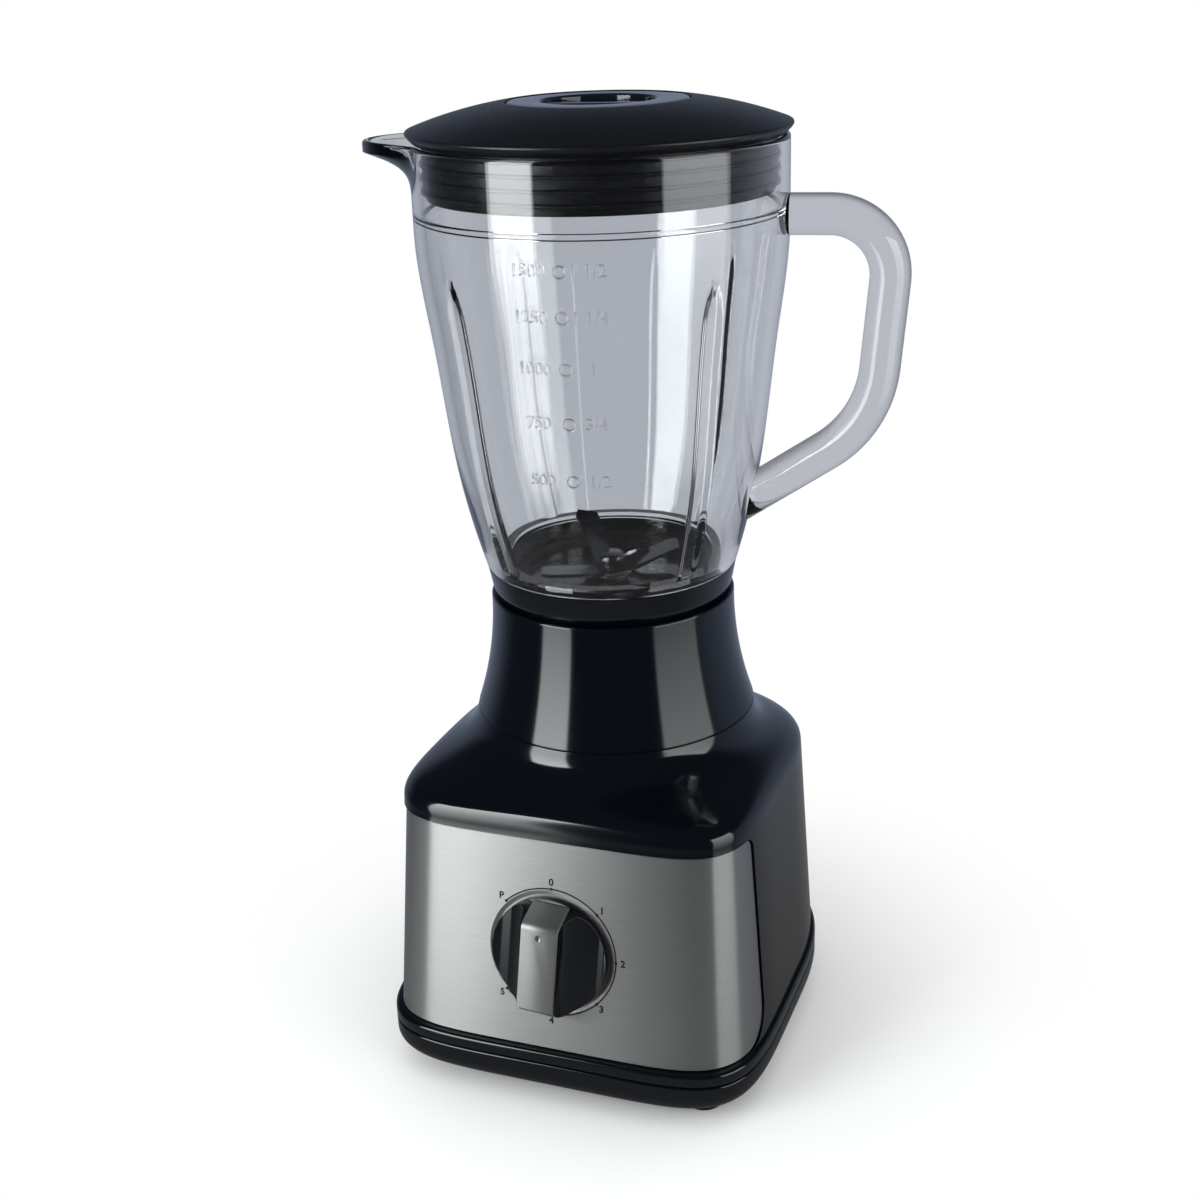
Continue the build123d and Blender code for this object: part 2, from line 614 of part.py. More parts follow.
def make_panel():
    """Brushed steel sheet that wraps the front and its corners."""
    sheet = body_block(PANEL_SET, SEAM_Z, RIM_Z) - body_block(PANEL_SET + PANEL_SHEET, SEAM_Z, RIM_Z)
    sheet &= panel_prism(PANEL_EDGE_GAP)
    sheet -= DIAL.location * Cylinder(SWITCH_NECK_RADIUS + FIT_GAP, 4 * HOUSING_WALL)
    save("front_panel", sheet)


def make_collar():
    """Flared ring between the housing and the jug."""
    waist_z = DECK_TOP + COLLAR_WAIST_HEIGHT
    outer = [
        (COLLAR_FOOT_RADIUS, DECK_TOP),
        (COLLAR_WAIST_RADIUS, waist_z),
        (COLLAR_TOP_RADIUS, COLLAR_TOP),
    ]
    inner = [(r - COLLAR_WALL, z) for r, z in outer]
    edges = []
    for run in (outer, inner):
        edges.append(Edge.make_three_point_arc(*[Vector(r, 0, z) for r, z in run]))
    edges.append(Edge.make_line(edges[0] @ 1, edges[1] @ 1))
    edges.append(Edge.make_line(edges[1] @ 0, edges[0] @ 0))
    collar = revolve(Face(Wire(edges)), Axis.Z)
    top_edges = collar.edges().group_by(Axis.Z)[-1]
    collar = fillet(top_edges, COLLAR_WALL / 3)
    flange_radius = COLLAR_FOOT_RADIUS - COLLAR_WALL / 2 - COLLAR_FLANGE / 2
    collar += tube(SEAT_RADIUS + FIT_GAP, flange_radius, DECK_TOP, DECK_TOP + COLLAR_FLANGE)
    save("collar", collar)


def make_seat():
    """Cup inside the collar that the jug drops into, with ribs that stop the jug turning."""
    flange_low = DECK_TOP + COLLAR_FLANGE
    flange_radius = COLLAR_WAIST_RADIUS
    seat = tube(SEAT_INSIDE, SEAT_RADIUS, DECK_TOP, SEAT_TOP)
    seat += tube(SEAT_INSIDE, flange_radius - COLLAR_WALL, flange_low, flange_low + COLLAR_FLANGE)
    floor_low = SEAT_FLOOR_TOP - SEAT_FLOOR
    seat += tube(SHAFT_RADIUS + SEAT_FLOOR, SEAT_RADIUS, floor_low, SEAT_FLOOR_TOP)
    collar_bore = SHAFT_RADIUS + SEAT_FLOOR
    seat += tube(collar_bore, collar_bore + SEAT_WALL, floor_low, SEAT_FLOOR_TOP + COUPLING_LIFT / 2)
    for i in range(SEAT_RIB_COUNT):
        rib = block(SEAT_INSIDE - SEAT_RIB_DEPTH, SEAT_RADIUS - SEAT_WALL / 2,
                    -SEAT_RIB_WIDTH / 2, SEAT_RIB_WIDTH / 2,
                    SEAT_FLOOR_TOP - SEAT_FLOOR / 2, SEAT_TOP - COLLAR_WALL)
        seat += Rot(0, 0, JUG_TURN + 45 + 360 * i / SEAT_RIB_COUNT) * rib
    for angle in QUARTERS:
        boss = rod(BOSS_RADIUS, DECK_TOP, floor_low) - rod(SCREW_SHANK, DECK_TOP, floor_low)
        seat += Pos(*polar(SEAT_SCREW_CIRCLE, angle + 45)) * boss
    save("jug_seat", seat)


def make_seat_screws():
    """Four screws that pull the seat and collar down on the deck."""
    one = screw(DECK_LOW, DECK + SEAT_SCREW_GRIP)
    places = [Pos(*polar(SEAT_SCREW_CIRCLE, angle + 45)) for angle in QUARTERS]
    save("seat_screws", Compound(children=[place * one for place in places]))


LEGS = [(sx * BRACKET_LEG_X, sy * BRACKET_LEG_Y) for sx in (1, -1) for sy in (1, -1)]


def bracket_frame(low, high):
    """Rounded plate with room for the bearing housing and the bolts."""
    plate = RectangleRounded(2 * STATOR_HALF_X, 2 * STATOR_HALF_Y, STATOR_CORNER)
    frame = Pos(0, 0, low) * extrude(plate, high - low)
    for sx in (1, -1):
        window = SlotOverall(BRACKET_LEG_Y + BEARING_RADIUS, BEARING_RADIUS, rotation=90)
        frame -= Pos(sx * BRACKET_WINDOW_X, 0, low) * extrude(window, high - low)
    return frame


def bearing_pocket(middle):
    """Housing round a bearing bush, and the bore for it."""
    low = middle - BEARING_HEIGHT / 2
    high = middle + BEARING_HEIGHT / 2
    return rod(BEARING_RADIUS + BEARING_HOUSING_WALL, low, high), rod(BEARING_RADIUS, low, high)


LOWER_BEARING_Z = LOWER_PLATE_LOW + BRACKET_PLATE / 2
UPPER_BEARING_Z = UPPER_PLATE_LOW + BRACKET_PLATE / 2


def make_motor_brackets():
    """Lower and upper motor brackets with legs to the stator, and arms to the housing."""
    lower = bracket_frame(LOWER_PLATE_LOW, LOWER_PLATE_TOP)
    upper = bracket_frame(UPPER_PLATE_LOW, UPPER_PLATE_TOP)
    for angle in QUARTERS:
        arm = block(0, ARM_REACH, -ARM_WIDTH / 2, ARM_WIDTH / 2, UPPER_PLATE_LOW, UPPER_PLATE_TOP)
        arm -= Pos(MOUNT_CIRCLE, 0, 0) * rod(SCREW_SHANK + FIT_GAP, UPPER_PLATE_LOW, UPPER_PLATE_TOP)
        upper += Rot(0, 0, angle) * (arm - rod(STATOR_BORE, UPPER_PLATE_LOW, UPPER_PLATE_TOP))
    for x, y in LEGS:
        lower += Pos(x, y, 0) * rod(BRACKET_LEG_RADIUS, LOWER_PLATE_TOP, STATOR_LOW)
        upper += Pos(x, y, 0) * rod(BRACKET_LEG_RADIUS, STATOR_TOP, UPPER_PLATE_LOW)
    pedestal_top = BRUSH_Z - BRUSH_DEPTH / 2 - HOLDER_WALL
    for side in (1, -1):
        pedestal = block(HOLDER_OUTER - 2 * HOLDER_WALL - BRUSH_WIDTH, HOLDER_OUTER - HOLDER_WALL,
                         -BRUSH_WIDTH / 2, BRUSH_WIDTH / 2, LOWER_PLATE_LOW, pedestal_top)
        lower += Rot(0, 0, 0 if side > 0 else 180) * pedestal
    for frame, middle, name in ((lower, LOWER_BEARING_Z, "motor_lower_bracket"),
                                (upper, UPPER_BEARING_Z, "motor_upper_bracket")):
        cup, bore = bearing_pocket(middle)
        frame = frame + cup - bore
        for x, y in LEGS:
            frame -= Pos(x, y, 0) * rod(BOLT_RADIUS, LOWER_PLATE_LOW, UPPER_PLATE_TOP)
        save(name, frame)


def make_bearings():
    """Sintered bushes that carry the motor shaft."""
    half = BEARING_HEIGHT / 2
    middles = {"motor_lower_bearing": LOWER_BEARING_Z, "motor_upper_bearing": UPPER_BEARING_Z}
    for name, middle in middles.items():
        save(name, tube(SHAFT_RADIUS + RUN_FIT, BEARING_RADIUS, middle - half, middle + half))


def make_stator():
    """Laminated stator with four coil windows, and its two field coils."""
    window_inner = STATOR_BORE + POLE_WEB
    window_outer = window_inner + COIL_DEPTH
    core = Pos(0, 0, STATOR_LOW) * extrude(
        RectangleRounded(2 * STATOR_HALF_X, 2 * STATOR_HALF_Y, STATOR_CORNER), STATOR_STACK)
    core -= rod(STATOR_BORE, STATOR_LOW, STATOR_TOP)
    coils = []
    wire_inner = window_inner + FIT_GAP
    wire_outer = window_outer - FIT_GAP
    start = COIL_START + COIL_SLACK
    end = COIL_END - COIL_SLACK
    for pole in (0, 180):
        coil = sector(wire_inner, wire_outer, -end, end, STATOR_TOP + FIT_GAP, STATOR_TOP + COIL_OVERHANG)
        coil += sector(wire_inner, wire_outer, -end, end, STATOR_LOW - COIL_OVERHANG, STATOR_LOW - FIT_GAP)
        for near, far, wire_near, wire_far in ((COIL_START, COIL_END, start, end),
                                               (-COIL_END, -COIL_START, -end, -start)):
            core -= Rot(0, 0, pole) * sector(window_inner, window_outer, near, far, STATOR_LOW, STATOR_TOP)
            coil += sector(wire_inner, wire_outer, wire_near, wire_far,
                           STATOR_LOW - FIT_GAP, STATOR_TOP + FIT_GAP)
        coils.append(Rot(0, 0, pole) * coil)
    for x, y in LEGS:
        core -= Pos(x, y, 0) * rod(BOLT_RADIUS, STATOR_LOW, STATOR_TOP)
    save("stator_core", core)
    save("field_coils", Compound(children=coils))


def make_motor_fasteners():
    """Through bolts of the motor, its rubber mounts and their screws."""
    bolt = screw(LOWER_PLATE_LOW, UPPER_PLATE_TOP - LOWER_PLATE_LOW, radius=BOLT_RADIUS,
                 head_radius=BOLT_HEAD_RADIUS, head=BOLT_HEAD)
    save("motor_bolts", Compound(children=[Pos(x, y, 0) * bolt for x, y in LEGS]))
    mount_top = UPPER_PLATE_TOP + DAMPER_HEIGHT
    damper = tube(SCREW_SHANK + FIT_GAP, DAMPER_RADIUS, UPPER_PLATE_TOP, mount_top)
    holder = screw(UPPER_PLATE_LOW, mount_top - UPPER_PLATE_LOW + BOSS_RADIUS)
    places = [Pos(*polar(MOUNT_CIRCLE, angle)) for angle in QUARTERS]
    save("motor_dampers", Compound(children=[place * damper for place in places]))
    save("motor_mount_screws", Compound(children=[place * holder for place in places]))


def make_brush_gear():
    """Brush holders, carbon brushes and their springs."""
    half_width = BRUSH_WIDTH / 2 + FIT_GAP
    half_depth = BRUSH_DEPTH / 2 + FIT_GAP
    holder = block(HOLDER_INNER, HOLDER_OUTER, -half_width - HOLDER_WALL, half_width + HOLDER_WALL,
                   BRUSH_Z - BRUSH_DEPTH / 2 - HOLDER_WALL, BRUSH_Z + half_depth + HOLDER_WALL)
    holder -= block(HOLDER_INNER, HOLDER_OUTER - HOLDER_WALL, -half_width, half_width,
                    BRUSH_Z - BRUSH_DEPTH / 2, BRUSH_Z + half_depth)
    tip = COMMUTATOR_RADIUS + BRUSH_GAP
    brush = block(tip, tip + BRUSH_LENGTH, -BRUSH_WIDTH / 2, BRUSH_WIDTH / 2,
                  BRUSH_Z - BRUSH_DEPTH / 2, BRUSH_Z + BRUSH_DEPTH / 2)
    coil_start = tip + BRUSH_LENGTH + 2 * SPRING_WIRE
    coil_length = HOLDER_OUTER - HOLDER_WALL - 2 * SPRING_WIRE - coil_start
    path = Edge.make_helix(coil_length / SPRING_TURNS, coil_length, SPRING_RADIUS)
    coil = sweep(Plane(path @ 0, z_dir=path % 0) * Circle(SPRING_WIRE), path=path, is_frenet=True)
    coil = Pos(coil_start, 0, BRUSH_Z) * Rot(0, 90, 0) * coil
    for name, piece in (("brush_holders", holder), ("carbon_brushes", brush), ("brush_springs", coil)):
        save(name, Compound(children=[Part() + piece, Rot(0, 0, 180) * (Part() + piece)]))


def make_rotor():
    """Everything on the motor shaft below the coupling."""
    save("motor_shaft", rod(SHAFT_RADIUS, SHAFT_LOW, SHAFT_TOP))
    core = tube(SHAFT_RADIUS, ARMATURE_RADIUS, STATOR_LOW, STATOR_TOP)
    for i in range(SLOT_COUNT):
        slot = block(ARMATURE_RADIUS - SLOT_DEPTH, ARMATURE_RADIUS + AIR_GAP,
                     -SLOT_WIDTH / 2, SLOT_WIDTH / 2, STATOR_LOW, STATOR_TOP)
        core -= Rot(0, 0, 360 * i / SLOT_COUNT) * slot
    save("armature_core", core)
    winding = tube(SHAFT_RADIUS, WINDING_RADIUS, STATOR_TOP, STATOR_TOP + WINDING_OVERHANG)
    winding = fillet(winding.edges().group_by(Axis.Z)[-1].sort_by(SortBy.RADIUS)[-1], WINDING_OVERHANG / 2)
    lower = tube(SHAFT_RADIUS, WINDING_RADIUS, STATOR_LOW - WINDING_OVERHANG, STATOR_LOW)
    lower = fillet(lower.edges().group_by(Axis.Z)[0].sort_by(SortBy.RADIUS)[-1], WINDING_OVERHANG / 2)
    turns = []
    for i in range(SLOT_COUNT):
        bar = block(ARMATURE_RADIUS - SLOT_DEPTH + FIT_GAP, WINDING_RADIUS - FIT_GAP,
                    -SLOT_WIDTH / 2 + FIT_GAP, SLOT_WIDTH / 2 - FIT_GAP, STATOR_LOW, STATOR_TOP)
        turns.append(Rot(0, 0, 360 * i / SLOT_COUNT) * bar)
    save("armature_winding", winding + lower + turns)
    commutator_top = COMMUTATOR_LOW + COMMUTATOR_HEIGHT
    commutator = tube(SHAFT_RADIUS, COMMUTATOR_RADIUS, COMMUTATOR_LOW, commutator_top)
    for i in range(COMMUTATOR_BARS):
        groove = block(COMMUTATOR_RADIUS - 2 * BAR_GROOVE, COMMUTATOR_RADIUS + BAR_GROOVE,
                       -BAR_GROOVE / 2, BAR_GROOVE / 2, COMMUTATOR_LOW, commutator_top)
        commutator -= Rot(0, 0, 360 * i / COMMUTATOR_BARS) * groove
    save("commutator", commutator)
    fan_top = FAN_LOW + FAN_HEIGHT
    fan = tube(SHAFT_RADIUS, FAN_HUB_RADIUS, FAN_LOW, fan_top)
    fan += tube(SHAFT_RADIUS, FAN_RADIUS, fan_top - FAN_DISC, fan_top)
    for i in range(FAN_BLADES):
        blade = block(FAN_HUB_RADIUS / 2 + SHAFT_RADIUS / 2, FAN_RADIUS, -FAN_BLADE / 2, FAN_BLADE / 2,
                      FAN_LOW, fan_top)
        fan += Rot(0, 0, 360 * i / FAN_BLADES) * blade
    save("cooling_fan", fan)


def make_couplings():
    """Toothed coupling on the motor and its mate under the jug, which lifts straight off it."""
    pitch = 360 / COUPLING_TEETH
    half = COUPLING_TOOTH_ANGLE / 2
    drive = tube(SHAFT_RADIUS, COUPLING_RADIUS, COUPLING_LOW, TOOTH_LOW)
    driven = tube(BLADE_STUD_RADIUS, COUPLING_RADIUS, DRIVEN_DISC_LOW, DRIVEN_TOP)
    drive_crown = tube(COUPLING_INNER, COUPLING_RADIUS, TOOTH_LOW, TOOTH_TOP)
    driven_crown = tube(COUPLING_INNER, COUPLING_RADIUS, DRIVEN_TOOTH_LOW, DRIVEN_DISC_LOW)
    inner = COUPLING_INNER / 2
    outer = COUPLING_INNER / 2 + COUPLING_RADIUS
    for i in range(COUPLING_TEETH):
        tooth = i * pitch
        gap = tooth + pitch / 2
        drive_crown -= sector(inner, outer, tooth + half, tooth + pitch - half, TOOTH_LOW, TOOTH_TOP)
        driven_crown -= sector(inner, outer, gap + half, gap + pitch - half,
                               DRIVEN_TOOTH_LOW, DRIVEN_DISC_LOW)
    drive += drive_crown
    driven += driven_crown
    save("drive_coupling", drive)
    save("driven_coupling", driven)


def make_switch():
    """Rotary speed switch behind the panel, with its nut in front."""
    wall_inside = (HOUSING_WALL - PANEL_SET) * math.cos(math.radians(FRONT_LEAN)) + FIT_GAP
    back = -wall_inside - SWITCH_DEPTH
    outline = RectangleRounded(SWITCH_WIDTH, SWITCH_WIDTH, SPINDLE_RADIUS)
    case = Pos(0, 0, back) * extrude(outline, SWITCH_DEPTH)
    case += rod(SWITCH_NECK_RADIUS, -wall_inside - FIT_GAP, SWITCH_NECK)
    case -= rod(SPINDLE_RADIUS + RUN_FIT, -wall_inside - SPINDLE_TAIL, SWITCH_NECK)
    for x in (-1, 0, 1):
        tab = block(-SWITCH_TAB_WIDTH / 2, SWITCH_TAB_WIDTH / 2, -SWITCH_TAB / 2, SWITCH_TAB / 2,
                    back - SWITCH_TAB_LENGTH, back)
        case += Pos(x * SWITCH_WIDTH / 3, 0, 0) * tab
    nut = extrude(RegularPolygon(SWITCH_NUT_FLATS / 2, 6, major_radius=False), SWITCH_NUT)
    nut -= rod(SWITCH_NECK_RADIUS, 0, SWITCH_NUT)
    spindle = rod(SPINDLE_RADIUS, -wall_inside - SPINDLE_TAIL + MOVE_GAP, SPINDLE_LENGTH)
    save("speed_switch", DIAL.location * case)
    save("switch_nut", DIAL.location * nut)
    save("switch_spindle", DIAL.location * spindle)


def knob_side(points):
    """Prism across the knob from a side outline of height up the panel and rise from it."""
    outline = Wire.make_polygon([Vector(0, up, rise) for up, rise in points], close=True)
    return extrude(Face(outline), 2 * KNOB_RADIUS, dir=(1, 0, 0), both=True)


def make_knob():
    """Speed knob with a scooped grip, and the steel plate on the grip's face."""
    half = KNOB_BAR_WIDTH / 2
    scoop_top = KNOB_RISE - KNOB_BAR_SIDE
    scoop_foot = KNOB_GAP + KNOB_EDGE
    dip = ((half + KNOB_RADIUS) / 2 - half / 3, (scoop_top + scoop_foot) / 2 - KNOB_BAR_SIDE)
    edges = [Edge.make_line((-KNOB_RADIUS, 0, KNOB_GAP), (KNOB_RADIUS, 0, KNOB_GAP))]
    for way in (1, -1):
        edges.append(Edge.make_line((way * KNOB_RADIUS, 0, KNOB_GAP), (way * KNOB_RADIUS, 0, scoop_foot)))
        edges.append(Edge.make_three_point_arc(
            (way * KNOB_RADIUS, 0, scoop_foot), (way * dip[0], 0, dip[1]), (way * half, 0, scoop_top)))
        edges.append(Edge.make_line((way * half, 0, scoop_top), (way * half, 0, KNOB_RISE)))
    edges.append(Edge.make_line((half, 0, KNOB_RISE), (-half, 0, KNOB_RISE)))
    knob = extrude(Face(Wire(edges)), KNOB_RADIUS, dir=(0, 1, 0), both=True)
    disc = rod(KNOB_RADIUS, 0, KNOB_RISE + KNOB_PLATE + KNOB_GAP)
    knob &= disc
    slope = math.atan2(KNOB_RISE - scoop_foot, KNOB_RAMP_FOOT - KNOB_RAMP_TOP)
    knob &= knob_side([
        (-KNOB_RADIUS, 0),
        (KNOB_RADIUS, 0),
        (KNOB_RADIUS, scoop_foot),
        (KNOB_RAMP_FOOT, scoop_foot),
        (KNOB_RAMP_TOP, KNOB_RISE),
        (-KNOB_TAIL, KNOB_RISE),
        (-KNOB_TAIL_BEND[0], KNOB_RISE - KNOB_TAIL_BEND[1]),
        (-KNOB_TAIL_FOOT, scoop_foot),
        (-KNOB_RADIUS, scoop_foot),
    ])
    knob -= rod(KNOB_POCKET_RADIUS, 0, KNOB_POCKET)
    knob -= rod(SPINDLE_RADIUS, 0, SPINDLE_LENGTH)
    out = KNOB_PLATE
    foot = (KNOB_RAMP_FOOT + out * math.sin(slope), scoop_foot + out * math.cos(slope))
    crown = (KNOB_RAMP_TOP + out * math.tan(slope / 2), KNOB_RISE + out)
    plate = knob_side([
        (KNOB_RAMP_FOOT, scoop_foot),
        (KNOB_RAMP_TOP, KNOB_RISE),
        (-KNOB_TAIL, KNOB_RISE),
        (-KNOB_TAIL, KNOB_RISE + out),
        crown,
        foot,
    ])
    plate &= block(-half, half, -KNOB_RADIUS, KNOB_RADIUS, 0, KNOB_RISE + 2 * out)
    plate &= disc
    plate -= Pos(0, KNOB_DIMPLE_PLACE, 0) * rod(KNOB_DIMPLE_RADIUS, KNOB_RISE, KNOB_RISE + out)
    turn = Rot(0, 0, -KNOB_TURN)
    save("speed_knob", DIAL.location * turn * knob)
    save("knob_plate", DIAL.location * turn * plate)


def make_gland_and_suppressor():
    """Cord gland at the back, and the interference suppressor in its clip."""
    gland = rod(GLAND_RADIUS, -HOUSING_WALL - GLAND_INSIDE, 0) + rod(GLAND_FLANGE_RADIUS, 0, GLAND_FLANGE)
    gland -= rod(GLAND_BORE, -HOUSING_WALL - GLAND_INSIDE, GLAND_FLANGE)
    skin = body_block(0, SEAM_Z, RIM_Z)
    flange = GLAND.location * gland
    inside = GLAND.location * tube(GLAND_BORE, GLAND_RADIUS, -HOUSING_WALL - GLAND_INSIDE, HOUSING_WALL)
    save("cord_gland", flange - skin + inside)
    length, width, height = SUPPRESSOR
    can = block(-length / 2, length / 2, -width / 2, width / 2, TRAY_INSIDE, TRAY_INSIDE + height)
    save("suppressor", Pos(*SUPPRESSOR_PLACE, 0) * can)


def jug_curve(inset, foot_z):
    """Side of the jug from its foot to its rim, inset by a wall."""
    return [
        (JUG_FOOT_RADIUS - inset, foot_z),
        (JUG_BELLY_RADIUS - inset, JUG_FOOT_Z + JUG_BELLY_HEIGHT),
        (JUG_WAIST_RADIUS - inset, JUG_FOOT_Z + JUG_WAIST_HEIGHT),
        (JUG_BODY_RADIUS - inset, JUG_FOOT_Z + JUG_BODY_HEIGHT),
    ]


def jug_block(inset, neck_radius, foot_z, top):
    """Solid inside a jug curve, closed with a straight neck below and a straight wall above."""
    points = [Vector(r, 0, z) for r, z in jug_curve(inset, foot_z)]
    side = Edge.make_spline(points, tangents=[Vector(JUG_FOOT_FLARE, 0, 1), Vector(0, 0, 1)])
    end = points[-1]
    corners = [
        end,
        Vector(end.X, 0, top),
        Vector(0, 0, top),
        Vector(0, 0, NECK_LOW),
        Vector(neck_radius, 0, NECK_LOW),
        Vector(neck_radius, 0, foot_z),
        points[0],
    ]
    lines = [Edge.make_line(a, b) for a, b in zip(corners, corners[1:])]
    return revolve(Face(Wire([side] + lines)), Axis.Z)


def spout_block(inset, tip_depth, root_depth, top):
    """Spout's plan pulled down from the rim and trimmed by its sloping underside."""
    run = SPOUT_REACH - JUG_BODY_RADIUS
    half = [(JUG_BODY_RADIUS - SPOUT_OVERLAP - 2 * inset, SPOUT_ROOT_HALF - 2 * inset)]
    for share, width in (SPOUT_FLANK, SPOUT_CHEEK):
        half.append((JUG_BODY_RADIUS + share * run - inset / 2, width - inset))
    reach = SPOUT_REACH - inset
    near = [Vector(-x, -y, top) for x, y in half]
    far = [Vector(-x, y, top) for x, y in reversed(half)]
    outline = Edge.make_spline(near + [Vector(-reach, 0, top)] + far)
    plan = Face(Wire([outline, Edge.make_line(far[-1], near[0])]))
    slope = (root_depth - tip_depth) / (reach - JUG_BODY_RADIUS)
    tip_z = JUG_RIM_Z - tip_depth
    below = Wire.make_polygon([
        Vector(-2 * reach, 0, tip_z + slope * reach),
        Vector(0, 0, tip_z - slope * reach),
        Vector(0, 0, LEDGE_Z),
        Vector(-2 * reach, 0, LEDGE_Z),
    ], close=True)
    under = extrude(Face(below), SPOUT_REACH, dir=(0, 1, 0), both=True)
    return extrude(plan, top - LEDGE_Z, dir=(0, 0, -1)) - under


def handle_bar():
    """Rounded glass handle swept through its two bends."""
    top = JUG_RIM_Z - HANDLE_TOP
    knee = top - HANDLE_DROP
    root = knee - (HANDLE_KNEE - HANDLE_ROOT) * math.tan(math.radians(HANDLE_TAIL_SLOPE))
    run = FilletPolyline((JUG_BODY_RADIUS - JUG_WALL, top), (HANDLE_REACH, top), (HANDLE_KNEE, knee),
                         (HANDLE_ROOT, root), radius=[HANDLE_TOP_BEND, HANDLE_KNEE_BEND])
    path = (Plane.XZ * run).edges()
    start = Plane((JUG_BODY_RADIUS - JUG_WALL, 0, top), x_dir=(0, 1, 0), z_dir=(1, 0, 0))
    section = start * Ellipse(HANDLE_WIDTH / 2, HANDLE_THICK / 2)
    return sweep(section, path=Wire(path))


def capsule(foot, head, radius):
    """Round bar with ball ends between two points."""
    length = (head - foot).length
    bend = radius * math.sqrt(0.5)
    edges = [
        Edge.make_three_point_arc((0, 0, -radius), (bend, 0, -bend), (radius, 0, 0)),
        Edge.make_line((radius, 0, 0), (radius, 0, length)),
        Edge.make_three_point_arc((radius, 0, length), (bend, 0, length + bend), (0, 0, length + radius)),
        Edge.make_line((0, 0, length + radius), (0, 0, -radius)),
    ]
    return Plane(foot, z_dir=head - foot).location * revolve(Face(Wire(edges)), Axis.Z)


def make_jug():
    """Glass jug with its handle, spout, inner ledge, neck and four inside ribs."""
    sill_z = JUG_FOOT_Z + JUG_SILL
    bore = JUG_NECK_RADIUS - JUG_NECK_WALL
    inside = jug_block(JUG_WALL, bore, sill_z, LEDGE_Z)
    curve = jug_curve(JUG_WALL, sill_z)
    foot = Vector(curve[0][0], 0, sill_z + JUG_RIB_RADIUS)
    head = Vector(curve[2][0], 0, JUG_FOOT_Z + JUG_RIB_TOP)
    rib = capsule(foot, head, JUG_RIB_RADIUS)
    for i in range(JUG_RIB_COUNT):
        inside -= Rot(0, 0, JUG_RIB_FIRST + 360 * i / JUG_RIB_COUNT) * rib
    jug = jug_block(0, JUG_NECK_RADIUS, JUG_FOOT_Z, JUG_RIM_Z) - inside
    jug -= rod(MOUTH_RADIUS, LEDGE_Z, LID_LOW)
    lip = spout_block(0, SPOUT_TIP_DEPTH, SPOUT_ROOT_DEPTH, JUG_RIM_Z)
    jug += lip - rod(JUG_BODY_RADIUS - MOUTH_WALL / 2, LEDGE_Z, LID_LOW)
    jug -= spout_block(SPOUT_WALL, SPOUT_TROUGH, SPOUT_ROOT_DEPTH - SPOUT_WALL, LID_LOW)
    jug += handle_bar() - jug_block(JUG_WALL / 2, bore, sill_z, JUG_RIM_Z)
    save("glass_jug", Rot(0, 0, JUG_TURN) * jug)


def make_jug_foot():
    """Screw ring under the jug, its gasket, the blade carrier, bush and shaft seal."""
    spigot_inside = SPIGOT_RADIUS - SPIGOT_WALL
    ring = turned(
        (RING_INSIDE, JUG_FOOT_Z),
        (JUG_FOOT_RADIUS, JUG_FOOT_Z),
        (RING_FOOT_RADIUS, RING_STEP),
        (SPIGOT_RADIUS, RING_STEP),
        (SPIGOT_RADIUS, SPIGOT_LOW),
        (spigot_inside, SPIGOT_LOW),
        (spigot_inside, RING_STEP),
        (RING_BORE_RADIUS, RING_STEP),
        (RING_BORE_RADIUS, CARRIER_LOW),
        (RING_INSIDE, CARRIER_LOW),
    )
    for i in range(SEAT_RIB_COUNT):
        depth = SEAT_RIB_DEPTH
        groove = block(SPIGOT_RADIUS - depth, SPIGOT_RADIUS + depth, -SEAT_RIB_WIDTH / 2 - MOVE_GAP,
                       SEAT_RIB_WIDTH / 2 + MOVE_GAP, SPIGOT_LOW, RING_STEP)
        ring -= Rot(0, 0, JUG_TURN + 45 + 360 * i / SEAT_RIB_COUNT) * groove
    save("jug_base_ring", ring)
    gasket_radius = RING_INSIDE - FIT_GAP
    save("jug_gasket", tube(gasket_radius - 2 * JUG_WALL, gasket_radius, CARRIER_TOP, NECK_LOW))
    carrier = rod(RING_INSIDE - FIT_GAP, CARRIER_LOW, CARRIER_TOP)
    carrier += rod(CARRIER_BOSS_RADIUS, BUSH_LOW, CARRIER_TOP)
    carrier += turned((0, CARRIER_TOP), (CARRIER_BOSS_RADIUS, CARRIER_TOP),
                      (CARRIER_CONE_RADIUS, CONE_TOP), (0, CONE_TOP))
    carrier -= rod(BUSH_RADIUS, BUSH_LOW, CONE_TOP)
    save("blade_carrier", carrier)
    bore = BLADE_SHAFT_RADIUS + RUN_FIT
    save("blade_bush", tube(bore, BUSH_RADIUS, BUSH_LOW, BUSH_TOP))
    save("shaft_seal", tube(bore, BUSH_RADIUS, BUSH_TOP, CONE_TOP))


def blade_arm(reach, angle, low):
    """One blade arm: flat at the hub, then bent up, with a pointed tip."""
    root = BLADE_HUB_RADIUS
    rise = math.radians(angle)
    run = (reach - root) / math.cos(rise)
    half_root = BLADE_WIDTH / 2
    half_tip = BLADE_TIP_WIDTH / 2
    flat = make_face(Polyline((0, -half_root), (run, -half_root), (run + half_tip, half_tip),
                              (run, half_root), (0, half_root), close=True))
    leaf = Pos(root, 0, low) * Rot(0, -angle, 0) * extrude(flat, BLADE_SHEET)
    hub = block(0, root, -half_root, half_root, low, low + BLADE_SHEET)
    return hub + leaf


